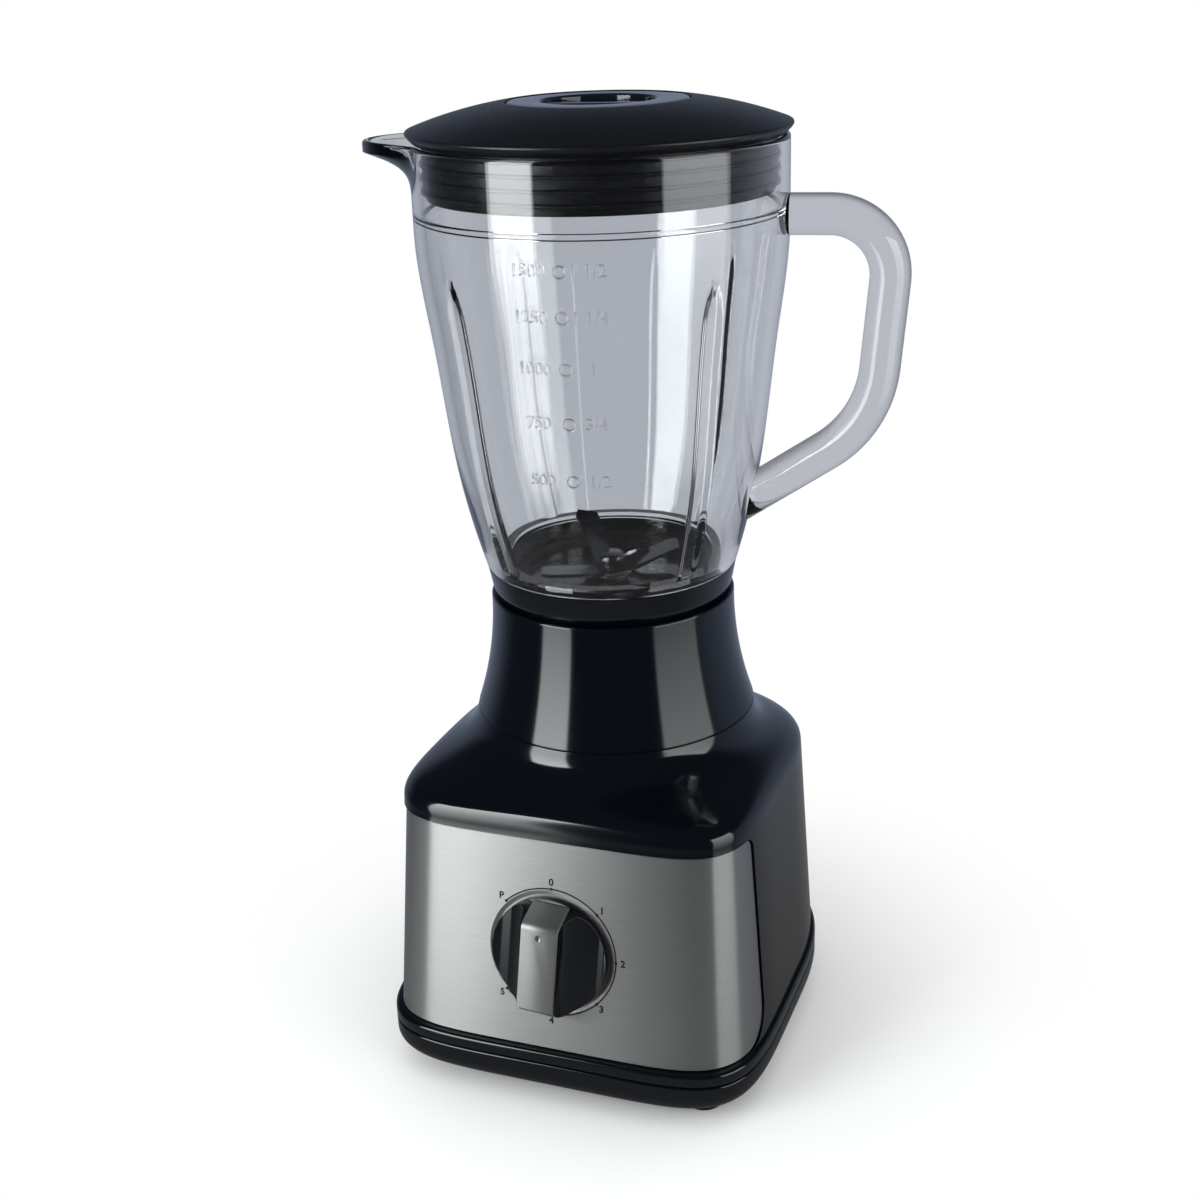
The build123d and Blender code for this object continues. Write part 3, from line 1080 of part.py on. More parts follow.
def make_blades():
    """Blade shaft, washer, two crossed blades and the cap nut."""
    shaft = rod(BLADE_SHAFT_RADIUS, DRIVEN_TOP, CONE_TOP + MOVE_GAP)
    shaft += rod(BLADE_STUD_RADIUS, CONE_TOP, NUT_TOP - BLADE_SHEET)
    shaft += rod(BLADE_STUD_RADIUS, DRIVEN_DISC_LOW, DRIVEN_TOP)
    save("blade_shaft", shaft)
    save("blade_washer", tube(BLADE_STUD_RADIUS, BLADE_HUB_RADIUS, CONE_TOP + MOVE_GAP, WASHER_TOP))
    hole = rod(BLADE_STUD_RADIUS, WASHER_TOP, NUT_TOP)
    for name, reach, angle, low, turn in (
        ("lower_blade", LOWER_BLADE_REACH, LOWER_BLADE_ANGLE, WASHER_TOP, BLADE_TURN + 90),
        ("upper_blade", UPPER_BLADE_REACH, UPPER_BLADE_ANGLE, LOWER_BLADE_TOP, BLADE_TURN),
    ):
        arm = blade_arm(reach, angle, low)
        pair = arm + Rot(0, 0, 180) * arm - hole
        save(name, Rot(0, 0, turn) * pair)
    hexagon = RegularPolygon(BLADE_NUT_FLATS / 2, 6, major_radius=False)
    nut = extrude(Pos(0, 0, UPPER_BLADE_TOP) * hexagon, BLADE_NUT)
    nut &= Pos(0, 0, UPPER_BLADE_TOP) * Sphere(BLADE_NUT_BALL)
    nut -= rod(BLADE_STUD_RADIUS, UPPER_BLADE_TOP, NUT_TOP - BLADE_SHEET)
    save("blade_nut", nut)


def make_lid():
    """Domed lid with its plug, stopper pocket and tube, and the rubber seal round the plug."""
    lip_radius = STOPPER_POCKET + LID_TUBE_WALL
    lip_top = LID_TOP + LID_LIP
    tube_outer = STOPPER_HOLE + LID_TUBE_WALL
    tube_low = STOPPER_SEAT - LID_TUBE
    rim_z = LID_LOW + LID_RIM
    under_edge = rim_z - LID_WALL + LID_EDGE
    plug_inside = PLUG_RADIUS - PLUG_WALL
    dome = [
        (STOPPER_HOLE, STOPPER_SEAT),
        (STOPPER_POCKET, STOPPER_SEAT),
        (STOPPER_POCKET, lip_top),
        (lip_radius - LID_LIP, lip_top),
        (lip_radius, LID_TOP),
    ]
    side = [
        (LID_RADIUS, rim_z),
        (LID_EDGE_RADIUS, LID_LOW + LID_EDGE),
        (LID_EDGE_RADIUS - LID_EDGE, LID_LOW),
        (PLUG_RADIUS, LID_LOW),
        (PLUG_RADIUS, PLUG_LOW),
        (plug_inside, PLUG_LOW),
        (plug_inside, under_edge),
        (tube_outer, STOPPER_SEAT - LID_WALL),
        (tube_outer, tube_low),
        (STOPPER_HOLE, tube_low),
        (STOPPER_HOLE, STOPPER_SEAT),
    ]
    bulge = Vector((LID_RADIUS + lip_radius) / 2, 0, (rim_z + LID_TOP) / 2 + LID_CROWN)
    edges = []
    for run in (dome, side):
        points = [Vector(r, 0, z) for r, z in run]
        edges += [Edge.make_line(a, b) for a, b in zip(points, points[1:])]
    edges.append(Edge.make_three_point_arc(
        Vector(lip_radius, 0, LID_TOP), bulge, Vector(LID_RADIUS, 0, rim_z)))
    save("lid", revolve(Face(Wire(edges)), Axis.Z))
    seal_low = PLUG_LOW + SEAL_LOW
    seal_top = seal_low + SEAL_RIB_COUNT * SEAL_RIB_PITCH
    seal = tube(PLUG_RADIUS, PLUG_RADIUS + SEAL_SLEEVE, seal_low, seal_top)
    for i in range(SEAL_RIB_COUNT):
        rib_low = seal_low + i * SEAL_RIB_PITCH
        seal += tube(PLUG_RADIUS, SEAL_RADIUS, rib_low, rib_low + SEAL_RIB_HEIGHT)
    save("lid_seal", seal)


def make_stopper():
    """Clear stopper: a small cup with a finger recess and a grip bar across it."""
    recess_low = STOPPER_TOP - STOPPER_RECESS
    well = STOPPER_RECESS_RADIUS + STOPPER_WALL
    stopper = rod(STOPPER_RADIUS, STOPPER_DISC_LOW, STOPPER_TOP)
    stopper = fillet(stopper.edges().group_by(Axis.Z)[-1], STOPPER_DISC / 3)
    stopper += tube(STOPPER_TUBE_RADIUS - STOPPER_WALL, STOPPER_TUBE_RADIUS, STOPPER_LOW, STOPPER_DISC_LOW)
    stopper += rod(well, recess_low - STOPPER_WALL, STOPPER_DISC_LOW)
    stopper -= rod(STOPPER_RECESS_RADIUS, recess_low, STOPPER_TOP)
    bar = block(-well + STOPPER_WALL / 2, well - STOPPER_WALL / 2, -STOPPER_BAR / 2, STOPPER_BAR / 2,
                recess_low - STOPPER_WALL / 2, STOPPER_TOP - STOPPER_BAR_DROP)
    save("stopper", Rot(0, 0, JUG_TURN) * (stopper + bar))


os.makedirs("parts", exist_ok=True)
make_tray()
make_feet()
make_housing()
make_tray_screws()
make_panel()
make_collar()
make_seat()
make_seat_screws()
make_motor_brackets()
make_bearings()
make_stator()
make_motor_fasteners()
make_brush_gear()
make_rotor()
make_couplings()
make_switch()
make_knob()
make_gland_and_suppressor()
make_jug()
make_jug_foot()
make_blades()
make_lid()
make_stopper()
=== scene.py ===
"""Looks of a countertop blender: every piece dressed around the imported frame, on a white studio floor."""

import logging
import math
from collections.abc import Sequence
from dataclasses import dataclass
from enum import Enum
from typing import ClassVar

import bmesh
import bpy
import numpy as np
from mathutils import Matrix, Vector

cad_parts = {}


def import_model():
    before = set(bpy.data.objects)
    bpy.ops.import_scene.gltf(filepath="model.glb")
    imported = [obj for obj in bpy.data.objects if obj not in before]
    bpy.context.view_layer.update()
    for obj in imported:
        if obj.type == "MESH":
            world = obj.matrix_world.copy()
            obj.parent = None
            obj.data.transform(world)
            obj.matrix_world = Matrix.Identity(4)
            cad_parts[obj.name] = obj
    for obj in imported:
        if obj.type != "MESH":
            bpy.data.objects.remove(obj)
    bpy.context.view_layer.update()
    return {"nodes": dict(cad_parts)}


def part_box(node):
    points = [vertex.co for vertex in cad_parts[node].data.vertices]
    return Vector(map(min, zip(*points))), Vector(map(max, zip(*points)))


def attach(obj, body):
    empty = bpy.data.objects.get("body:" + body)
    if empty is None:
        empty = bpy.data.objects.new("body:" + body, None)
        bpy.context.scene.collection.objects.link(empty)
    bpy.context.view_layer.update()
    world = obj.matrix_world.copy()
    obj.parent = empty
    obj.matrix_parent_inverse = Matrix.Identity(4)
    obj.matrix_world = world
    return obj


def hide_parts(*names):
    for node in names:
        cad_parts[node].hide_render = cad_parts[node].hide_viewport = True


MM = 0.001
MERGE = 2e-6
SHARP = 32.0
MIN_ROUND = 0.05
Face = tuple[int, ...]
Corner = tuple[float, float, float]
Colour = tuple[float, float, float, float]
WHITE: Colour = (1.0, 1.0, 1.0, 1.0)
log = logging.getLogger("looks")


class Body(str, Enum):
    """Bodies of the frame that a piece can ride."""

    BASE = "base"
    ROTOR = "rotor"
    JUG = "jug"
    BLADES = "blades"
    LID = "lid"
    STOPPER = "stopper"
    KNOB = "knob"


class Surface(Enum):
    """What a finish's skin does beyond its plain values."""

    SMOOTH = "smooth"
    GRAIN = "grain"
    BRUSHED = "brushed"
    LAYERED = "layered"


class Operation(str, Enum):
    """Ways of combining two closed meshes."""

    JOIN = "UNION"
    CUT = "DIFFERENCE"


def linear(code: str) -> Colour:
    """Scene-linear colour of an sRGB hex code."""
    shares = [int(code[i : i + 2], 16) / 255 for i in (1, 3, 5)]
    values = [c / 12.92 if c <= 0.04045 else ((c + 0.055) / 1.055) ** 2.4 for c in shares]
    return (values[0], values[1], values[2], 1.0)


def add_node(
    tree: bpy.types.NodeTree, kind: str, inputs: dict | None = None, **settings: object
) -> bpy.types.Node:
    """Add a node with its settings, and set or link its inputs.

    Args:
        tree: Tree that gets the node.
        kind: Node type.
        inputs: Socket names or numbers, each with a value or the output that feeds it.
        settings: Attributes of the node.

    Returns:
        The new node.
    """
    node = tree.nodes.new(kind)
    for key, value in settings.items():
        setattr(node, key, value)
    for name, value in (inputs or {}).items():
        if isinstance(value, bpy.types.NodeSocket):
            tree.links.new(value, node.inputs[name])
        else:
            node.inputs[name].default_value = value
    return node


def math_node(
    tree: bpy.types.NodeTree, operation: str, first: object, second: object
) -> bpy.types.NodeSocket:
    """Result of one sum on two values."""
    return add_node(tree, "ShaderNodeMath", {0: first, 1: second}, operation=operation).outputs[0]


def soft_step(tree: bpy.types.NodeTree, value: object, start: object, end: object) -> bpy.types.NodeSocket:
    """Soft step from 0 to 1 as a value goes from start to end."""
    inputs = {"Value": value, "From Min": start, "From Max": end}
    return add_node(tree, "ShaderNodeMapRange", inputs, interpolation_type="SMOOTHSTEP").outputs["Result"]


def blend(tree: bpy.types.NodeTree, share: object, first: object, second: object) -> bpy.types.NodeSocket:
    """Value that goes from the first to the second as a share goes from 0 to 1."""
    return add_node(tree, "ShaderNodeMix", {0: share, 2: first, 3: second}, data_type="FLOAT").outputs[0]


def tint(tree: bpy.types.NodeTree, share: object, first: object, second: object) -> bpy.types.NodeSocket:
    """Colour that goes from the first to the second as a share goes from 0 to 1."""
    return add_node(tree, "ShaderNodeMix", {0: share, 6: first, 7: second}, data_type="RGBA").outputs[2]


@dataclass(frozen=True)
class Finish:
    """A real material and process, as values for the shader."""

    STROKE: ClassVar[float] = 40.0
    NOISE_RANGE: ClassVar[tuple[float, float]] = (0.3, 0.7)
    QUARTER_TURN: ClassVar[float] = 0.25

    name: str
    slot: str
    colour: str
    roughness: float
    metallic: float = 0.0
    ior: float = 1.5
    transmission: float = 0.0
    coat: float = 0.0
    anisotropic: float = 0.0
    surface: Surface = Surface.SMOOTH
    pitch_mm: float = 1.0
    depth_mm: float = 0.0
    spread: float = 0.0
    streak: float = 0.0
    haze: float = 0.0
    haze_roughness: float = 0.75

    def material(self) -> bpy.types.Material:
        """The finish as a material, made once."""
        made = bpy.data.materials.get(self.name)
        if made is not None:
            return made
        made = bpy.data.materials.new(self.name)
        made.use_nodes = True
        tree = made.node_tree
        tree.nodes.clear()
        values = {
            "Base Color": linear(self.colour),
            "Metallic": self.metallic,
            "Roughness": self.roughness,
            "Transmission Weight": self.transmission,
            "Coat Weight": self.coat,
            "Anisotropic": self.anisotropic,
        }
        if not self.metallic:
            values["IOR"] = self.ior
        if self.surface is not Surface.SMOOTH:
            values.update(self.pattern(tree))
        skin = add_node(tree, "ShaderNodeBsdfPrincipled", values).outputs["BSDF"]
        if self.haze:
            values.update({"Roughness": self.haze_roughness, "Anisotropic": self.anisotropic / 2})
            wide = add_node(tree, "ShaderNodeBsdfPrincipled", values).outputs["BSDF"]
            skin = add_node(tree, "ShaderNodeMixShader", {0: self.haze, 1: skin, 2: wide}).outputs[0]
        add_node(tree, "ShaderNodeOutputMaterial", {"Surface": skin})
        return made

    def shade(self, share: float) -> Colour:
        """The finish's colour, darker or lighter by a share."""
        red, green, blue, _ = linear(self.colour)
        return (red * share, green * share, blue * share, 1.0)

    def pattern(self, tree: bpy.types.NodeTree) -> dict:
        """Nodes of the skin's pattern, as the shader inputs that they feed."""
        fine = 1.0 / (self.pitch_mm * MM)
        spots = add_node(tree, "ShaderNodeTexCoord").outputs
        # Brushed strokes run along the sheet, many times as long as they are wide.
        place, scale, detail = {
            Surface.BRUSHED: (spots["UV"], (fine / self.STROKE, fine, 1.0), 3.0),
            Surface.LAYERED: (spots["Object"], (1.0, 1.0, fine), 1.0),
            Surface.GRAIN: (spots["Object"], (fine, fine, fine), 2.0),
        }[self.surface]
        run = add_node(tree, "ShaderNodeMapping", {"Vector": place, "Scale": scale}).outputs[0]
        noise = add_node(tree, "ShaderNodeTexNoise", {"Vector": run, "Scale": 1.0, "Detail": detail})
        level = noise.outputs["Fac"]
        limits = {
            "From Min": self.NOISE_RANGE[0],
            "From Max": self.NOISE_RANGE[1],
            "To Min": self.roughness - self.spread,
            "To Max": self.roughness + self.spread,
        }
        rough = add_node(tree, "ShaderNodeMapRange", {"Value": level, **limits})
        bump = add_node(tree, "ShaderNodeBump", {"Height": level, "Distance": self.depth_mm * MM})
        fed = {"Roughness": rough.outputs["Result"], "Normal": bump.outputs["Normal"]}
        if self.streak:
            fed["Base Color"] = tint(tree, level, self.shade(1 - self.streak), self.shade(1 + self.streak))
        if self.anisotropic:
            # Highlights are drawn out across the strokes.
            along = add_node(tree, "ShaderNodeTangent", direction_type="UV_MAP", uv_map="run")
            fed["Tangent"] = along.outputs["Tangent"]
            fed["Anisotropic Rotation"] = self.QUARTER_TURN
        return fed


# Polished ABS: deep black, sharp reflections of the softboxes; the cool cast of its colour is painted light,
# standing for the cool studio reflected in it.
GLOSS_BLACK = Finish("abs_polished_black", "gloss_black", "#030509", 0.1, ior=1.53)
# Spark-eroded polypropylene: dead black with a fine even grain, drawn coarser than life so that it shows; the
# cool cast of its colour is painted light.
SATIN_BLACK = Finish(
    "pp_grained_black", "satin_black", "#04060a", 0.37, ior=1.49, surface=Surface.GRAIN, pitch_mm=0.8,
    depth_mm=0.05, spread=0.06,
)
# Stainless sheet, belt-brushed across: a crisp light edge with a haze round it, highlights drawn out upright.
# Its strokes are drawn coarser than life so that they show.
PANEL_STEEL = Finish(
    "stainless_brushed_sheet", "panel_steel", "#a0a09f", 0.34, metallic=1.0, anisotropic=1.0,
    surface=Surface.BRUSHED, pitch_mm=0.5, depth_mm=0.003, spread=0.06, streak=0.12, haze=0.5,
)
# The same sheet on the knob's grip with fainter strokes; its colour is a little darker than the panel's as
# painted shade, though the steel is the same.
SHADED_KNOB_STEEL = Finish(
    "stainless_brushed_plate", "panel_steel", "#8e8e8d", 0.33, metallic=1.0, anisotropic=0.8,
    surface=Surface.BRUSHED, pitch_mm=0.5, depth_mm=0.002, spread=0.04, streak=0.1, haze=0.5,
)
# Pressed soda-lime glass: clear, faintly cool where much of it is looked through.
JUG_GLASS = Finish("soda_lime_glass_pressed", "jug_glass", "#f4f5f6", 0.0, ior=1.52, transmission=1.0)
# Smoke-tinted acrylic: glossy, nearly black, a little light comes through.
SMOKE_CLEAR = Finish("acrylic_smoke_moulded", "smoke_clear", "#171b27", 0.06, ior=1.49, transmission=0.35)
# Moulded rubber: dull black, no clear reflection.
BLACK_RUBBER = Finish("rubber_moulded_black", "black_rubber", "#040506", 0.4, ior=1.52)
# Ground stainless: dark grey blades and nut with a soft sheen.
BLADE_STEEL = Finish("stainless_ground", "blade_steel", "#55575a", 0.22, metallic=1.0)
# Zinc-plated steel: bright grey screws and springs.
PLATED_STEEL = Finish("steel_zinc_plated", "plated_steel", "#c8c8c4", 0.3, metallic=1.0)
# Stacked electrical steel: dark grey with fine lines, drawn coarser than the real half millimetre.
MOTOR_IRON = Finish(
    "electrical_steel_stacked", "motor_iron", "#6e6f72", 0.5, metallic=1.0, surface=Surface.LAYERED,
    pitch_mm=1.0, depth_mm=0.05, spread=0.1,
)
# Enamelled copper wire: warm orange brown under clear enamel.
ENAMEL_COPPER = Finish("copper_wire_enamelled", "enamel_copper", "#b0643a", 0.3, metallic=1.0, coat=0.5)
# Oil-filled sintered bronze: dull gold.
SINTERED_BRONZE = Finish("bronze_sintered", "sintered_bronze", "#b3854a", 0.5, metallic=1.0)
# Die-cast aluminium: pale grey, slightly rough from the mould.
CAST_ALUMINIUM = Finish("aluminium_die_cast", "cast_aluminium", "#c2c4c6", 0.45, metallic=1.0)
# Pressed carbon: flat dark grey.
BLACK_CARBON = Finish("carbon_pressed", "black_carbon", "#1c1c1d", 0.6)
# Glass-filled nylon: dull mid grey.
GREY_NYLON = Finish("nylon_glass_filled", "grey_nylon", "#55565a", 0.55, ior=1.53)
# Screen-printed ink: flat black figures on the panel.
PRINT_INK = Finish("ink_screen_printed", "panel_steel", "#060607", 0.85)


@dataclass
class Shell:
    """Points in millimetres, the faces between them, and where each point lies on its sheet."""

    points: list[Vector]
    faces: list[Face]
    sheet: list[tuple[float, float]] | None = None


def spread(start: float, end: float, steps: int) -> list[float]:
    """Even values from start to end, both included."""
    return [start + (end - start) * i / steps for i in range(steps + 1)]


def smooth(value: float) -> float:
    """S-shaped step from 0 to 1 as the value goes from 0 to 1."""
    share = min(max(value, 0.0), 1.0)
    return share * share * (3 - 2 * share)


def arc_through(a: Vector, b: Vector, c: Vector, steps: int) -> list[Vector]:
    """Points of the flat arc from a through b to c."""
    d = 2 * (a.x * (b.y - c.y) + b.x * (c.y - a.y) + c.x * (a.y - b.y))
    squares = (a.length_squared, b.length_squared, c.length_squared)
    ux = (squares[0] * (b.y - c.y) + squares[1] * (c.y - a.y) + squares[2] * (a.y - b.y)) / d
    uy = (squares[0] * (c.x - b.x) + squares[1] * (a.x - c.x) + squares[2] * (b.x - a.x)) / d
    centre = Vector((ux, uy))
    start = math.atan2(a.y - uy, a.x - ux)
    middle = math.atan2(b.y - uy, b.x - ux)
    end = math.atan2(c.y - uy, c.x - ux)
    turn = (end - start) % math.tau
    if (middle - start) % math.tau > turn:
        turn -= math.tau
    radius = (a - centre).length
    return [centre + radius * Vector((math.cos(t), math.sin(t))) for t in spread(start, start + turn, steps)]


def round_corners(corners: Sequence[Corner], steps: int = 5, closed: bool = True) -> list[Vector]:
    """Flat outline with each corner rounded to its radius.

    Args:
        corners: Two coordinates and a rounding radius for each corner.
        steps: Steps in each rounding.
        closed: Whether the last corner runs on to the first.

    Returns:
        The outline's points in order.
    """
    count = len(corners)
    outline = []
    for i, (x, y, radius) in enumerate(corners):
        here = Vector((x, y))
        if radius <= 0 or (not closed and i in (0, count - 1)):
            outline.append(here)
            continue
        back = (Vector(corners[i - 1][:2]) - here).normalized()
        ahead = (Vector(corners[(i + 1) % count][:2]) - here).normalized()
        half = back.angle(ahead) / 2
        reach = radius / math.tan(half)
        middle = here + (back + ahead).normalized() * (radius / math.sin(half) - radius)
        outline += arc_through(here + back * reach, middle, here + ahead * reach, steps)
    return outline


def clamped_curve(knots: Sequence[Vector], start: Vector, end: Vector, steps: int) -> list[Vector]:
    """Smooth cubic curve through knots with set end directions, as even steps of its length.

    Args:
        knots: Points that the curve goes through.
        start: Direction at the first knot.
        end: Direction at the last knot.
        steps: Steps along the whole curve.

    Returns:
        The curve's points.
    """
    at = [0.0]
    for a, b in zip(knots, knots[1:]):
        at.append(at[-1] + (b - a).length)
    count = len(knots)
    system = np.zeros((count, count))
    right = np.zeros((count, 2))
    system[0, 0] = system[-1, -1] = 1.0
    right[0], right[-1] = start.normalized(), end.normalized()
    for i in range(1, count - 1):
        before, after = at[i] - at[i - 1], at[i + 1] - at[i]
        system[i, i - 1 : i + 2] = after, 2 * (before + after), before
        slopes = (knots[i] - knots[i - 1]) / before * after + (knots[i + 1] - knots[i]) / after * before
        right[i] = 3 * slopes
    tangents = np.linalg.solve(system, right)
    curve = []
    for place in spread(0.0, at[-1], steps):
        i = min(max(int(np.searchsorted(at, place)) - 1, 0), count - 2)
        run = at[i + 1] - at[i]
        t = (place - at[i]) / run
        weights = (2 * t**3 - 3 * t**2 + 1, t**3 - 2 * t**2 + t, 3 * t**2 - 2 * t**3, t**3 - t**2)
        curve.append(
            knots[i] * weights[0]
            + Vector(tangents[i]) * (weights[1] * run)
            + knots[i + 1] * weights[2]
            + Vector(tangents[i + 1]) * (weights[3] * run)
        )
    return curve


def strip(first: Sequence[int], second: Sequence[int], closed: bool) -> list[Face]:
    """Quads between two rows of points."""
    count = len(first)
    last = count if closed else count - 1
    return [(first[i], first[(i + 1) % count], second[(i + 1) % count], second[i]) for i in range(last)]


def loft(rings: Sequence[Sequence[Vector]], looped: bool) -> Shell:
    """Skin over closed rings of as many points each.

    Args:
        rings: The rings in order.
        looped: Whether the last ring joins the first; otherwise both ends are capped.

    Returns:
        The closed skin.
    """
    count = len(rings[0])
    rows = [list(range(i * count, (i + 1) * count)) for i in range(len(rings))]
    faces = []
    for first, second in zip(rows, rows[1:]):
        faces += strip(first, second, True)
    if looped:
        faces += strip(rows[-1], rows[0], True)
    else:
        faces += [tuple(reversed(rows[0])), tuple(rows[-1])]
    return Shell([p for ring in rings for p in ring], faces)


def turned(outline: Sequence[Vector], steps: int, looped: bool = True) -> Shell:
    """Skin of a flat outline of radius and height, turned about the upright axis."""
    ways = [math.tau * i / steps for i in range(steps)]
    rings = [[Vector((p.x * math.cos(a), p.x * math.sin(a), p.y)) for a in ways] for p in outline]
    return loft(rings, looped)


def swept_box(size: Corner, rounding: float, steps: int = 3) -> Shell:
    """Upright bar on the origin with rounded upright edges and a rounded top."""
    x, y, z = size
    corners = [(x / 2, y / 2), (-x / 2, y / 2), (-x / 2, -y / 2), (x / 2, -y / 2)]
    rings = []
    heights = [(0.0, 0.0)]
    for turn in spread(0.0, math.pi / 2, steps):
        heights.append((z - rounding * (1 - math.sin(turn)), rounding * (1 - math.cos(turn))))
    for height, inset in heights:
        left = max(rounding - inset, MIN_ROUND)
        shrunk = [tuple(math.copysign(abs(v) - inset, v) for v in corner) for corner in corners]
        ring = round_corners([(*corner, left) for corner in shrunk], steps)
        rings.append([Vector((p.x, p.y, height)) for p in ring])
    return loft(rings, False)


def clean(mesh: bpy.types.Mesh, sharp: float) -> None:
    """Merge doubled points, turn faces outwards and shade smooth but for sharp edges."""
    work = bmesh.new()
    work.from_mesh(mesh)
    bmesh.ops.remove_doubles(work, verts=work.verts, dist=MERGE)
    bmesh.ops.dissolve_degenerate(work, edges=work.edges, dist=MERGE)
    bmesh.ops.recalc_face_normals(work, faces=work.faces)
    work.to_mesh(mesh)
    work.free()
    mesh.shade_smooth()
    mesh.set_sharp_from_angle(angle=math.radians(sharp))


def make_object(name: str, mesh: bpy.types.Mesh) -> bpy.types.Object:
    """Object at the origin that shows a mesh."""
    obj = bpy.data.objects.new(name, mesh)
    bpy.context.scene.collection.objects.link(obj)
    return obj


def build(name: str, shell: Shell, sharp: float = SHARP) -> bpy.types.Object:
    """Mesh object of a shell, cleaned and shaded.

    Args:
        name: Name of the piece.
        shell: Points in millimetres and faces.
        sharp: Angle in degrees from which an edge stays sharp.

    Returns:
        The object, without a finish.
    """
    mesh = bpy.data.meshes.new(name)
    mesh.from_pydata([p * MM for p in shell.points], [], shell.faces)
    if shell.sheet is not None:
        layer = mesh.uv_layers.new(name="run")
        for loop in mesh.loops:
            layer.data[loop.index].uv = shell.sheet[loop.vertex_index]
    clean(mesh, sharp)
    return make_object(name, mesh)


def bake(obj: bpy.types.Object) -> None:
    """Turn an object's live modifiers into its plain mesh."""
    graph = bpy.context.evaluated_depsgraph_get()
    live = obj.evaluated_get(graph)
    baked = bpy.data.meshes.new_from_object(live, preserve_all_data_layers=True, depsgraph=graph)
    obj.modifiers.clear()
    obj.data = baked


def combine(
    obj: bpy.types.Object, tool: bpy.types.Object, operation: Operation, sharp: float = SHARP
) -> None:
    """Join a closed mesh to an object or cut it out, and remove the tool."""
    step = obj.modifiers.new("combine", "BOOLEAN")
    step.object = tool
    step.operation = operation.value
    step.solver = "EXACT"
    bake(obj)
    bpy.data.objects.remove(tool)
    clean(obj.data, sharp)


def finish_piece(obj: bpy.types.Object, finish: Finish, body: Body, *nodes: str) -> None:
    """Give a piece its finish, the body that it rides and the nodes that it stands for."""
    obj.data.materials.clear()
    obj.data.materials.append(finish.material())
    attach(obj, body.value)
    if nodes:
        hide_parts(*nodes)
    log.info("%s: %d faces, %s", obj.name, len(obj.data.polygons), finish.name)


def grow(obj: bpy.types.Object, tree: bpy.types.NodeTree, values: dict[str, object]) -> None:
    """Run a Geometry Nodes tree on an object and keep the result as its plain mesh.

    Args:
        obj: Object whose mesh goes in.
        tree: The tree.
        values: Named inputs of the tree.
    """
    step = obj.modifiers.new(tree.name, "NODES")
    step.node_group = tree
    for socket in tree.interface.items_tree:
        if socket.name in values and socket.in_out == "INPUT":
            step[socket.identifier] = values[socket.name]
    bake(obj)
    clean(obj.data, SHARP)


class CopyTree:
    """Geometry Nodes tree that sets a turned copy of one source on each point of a cloud."""

    NAME = "copies_on_points"
    TURN = "turn"

    def tree(self) -> bpy.types.NodeTree:
        """The tree, made once."""
        made = bpy.data.node_groups.get(self.NAME)
        if made is not None:
            return made
        made = bpy.data.node_groups.new(self.NAME, "GeometryNodeTree")
        sockets = (("Places", "Geometry"), ("Source", "Object"), ("Finish", "Material"))
        for name, kind in sockets:
            made.interface.new_socket(name, in_out="INPUT", socket_type=f"NodeSocket{kind}")
        made.interface.new_socket("Copies", in_out="OUTPUT", socket_type="NodeSocketGeometry")
        given = add_node(made, "NodeGroupInput").outputs
        source = add_node(made, "GeometryNodeObjectInfo", {"Object": given["Source"], "As Instance": True})
        kept = {"data_type": "FLOAT_VECTOR"}
        turn = add_node(made, "GeometryNodeInputNamedAttribute", {"Name": self.TURN}, **kept)
        way = add_node(made, "FunctionNodeEulerToRotation", {0: turn.outputs["Attribute"]})
        copies = add_node(
            made,
            "GeometryNodeInstanceOnPoints",
            {"Points": given["Places"], "Instance": source.outputs["Geometry"], "Rotation": way.outputs[0]},
        )
        plain = add_node(made, "GeometryNodeRealizeInstances", {"Geometry": copies.outputs[0]})
        dressed = add_node(
            made, "GeometryNodeSetMaterial", {"Geometry": plain.outputs[0], "Material": given["Finish"]}
        )
        add_node(made, "NodeGroupOutput", {"Copies": dressed.outputs[0]})
        return made

    def copies(
        self, name: str, source: bpy.types.Object, places: Sequence[Matrix], finish: Finish
    ) -> bpy.types.Object:
        """One plain mesh of all the copies.

        Args:
            name: Name of the piece.
            source: Mesh that is repeated; it is removed.
            places: Place and turn of each copy, in millimetres.
            finish: Finish of the copies.

        Returns:
            The object with the copies.
        """
        mesh = bpy.data.meshes.new(name)
        mesh.from_pydata([p.translation * MM for p in places], [], [])
        turns = mesh.attributes.new(self.TURN, "FLOAT_VECTOR", "POINT")
        for item, place in zip(turns.data, places):
            item.vector = Vector(place.to_euler())
        obj = make_object(name, mesh)
        grow(obj, self.tree(), {"Source": source, "Finish": finish.material()})
        bpy.data.objects.remove(source)
        return obj


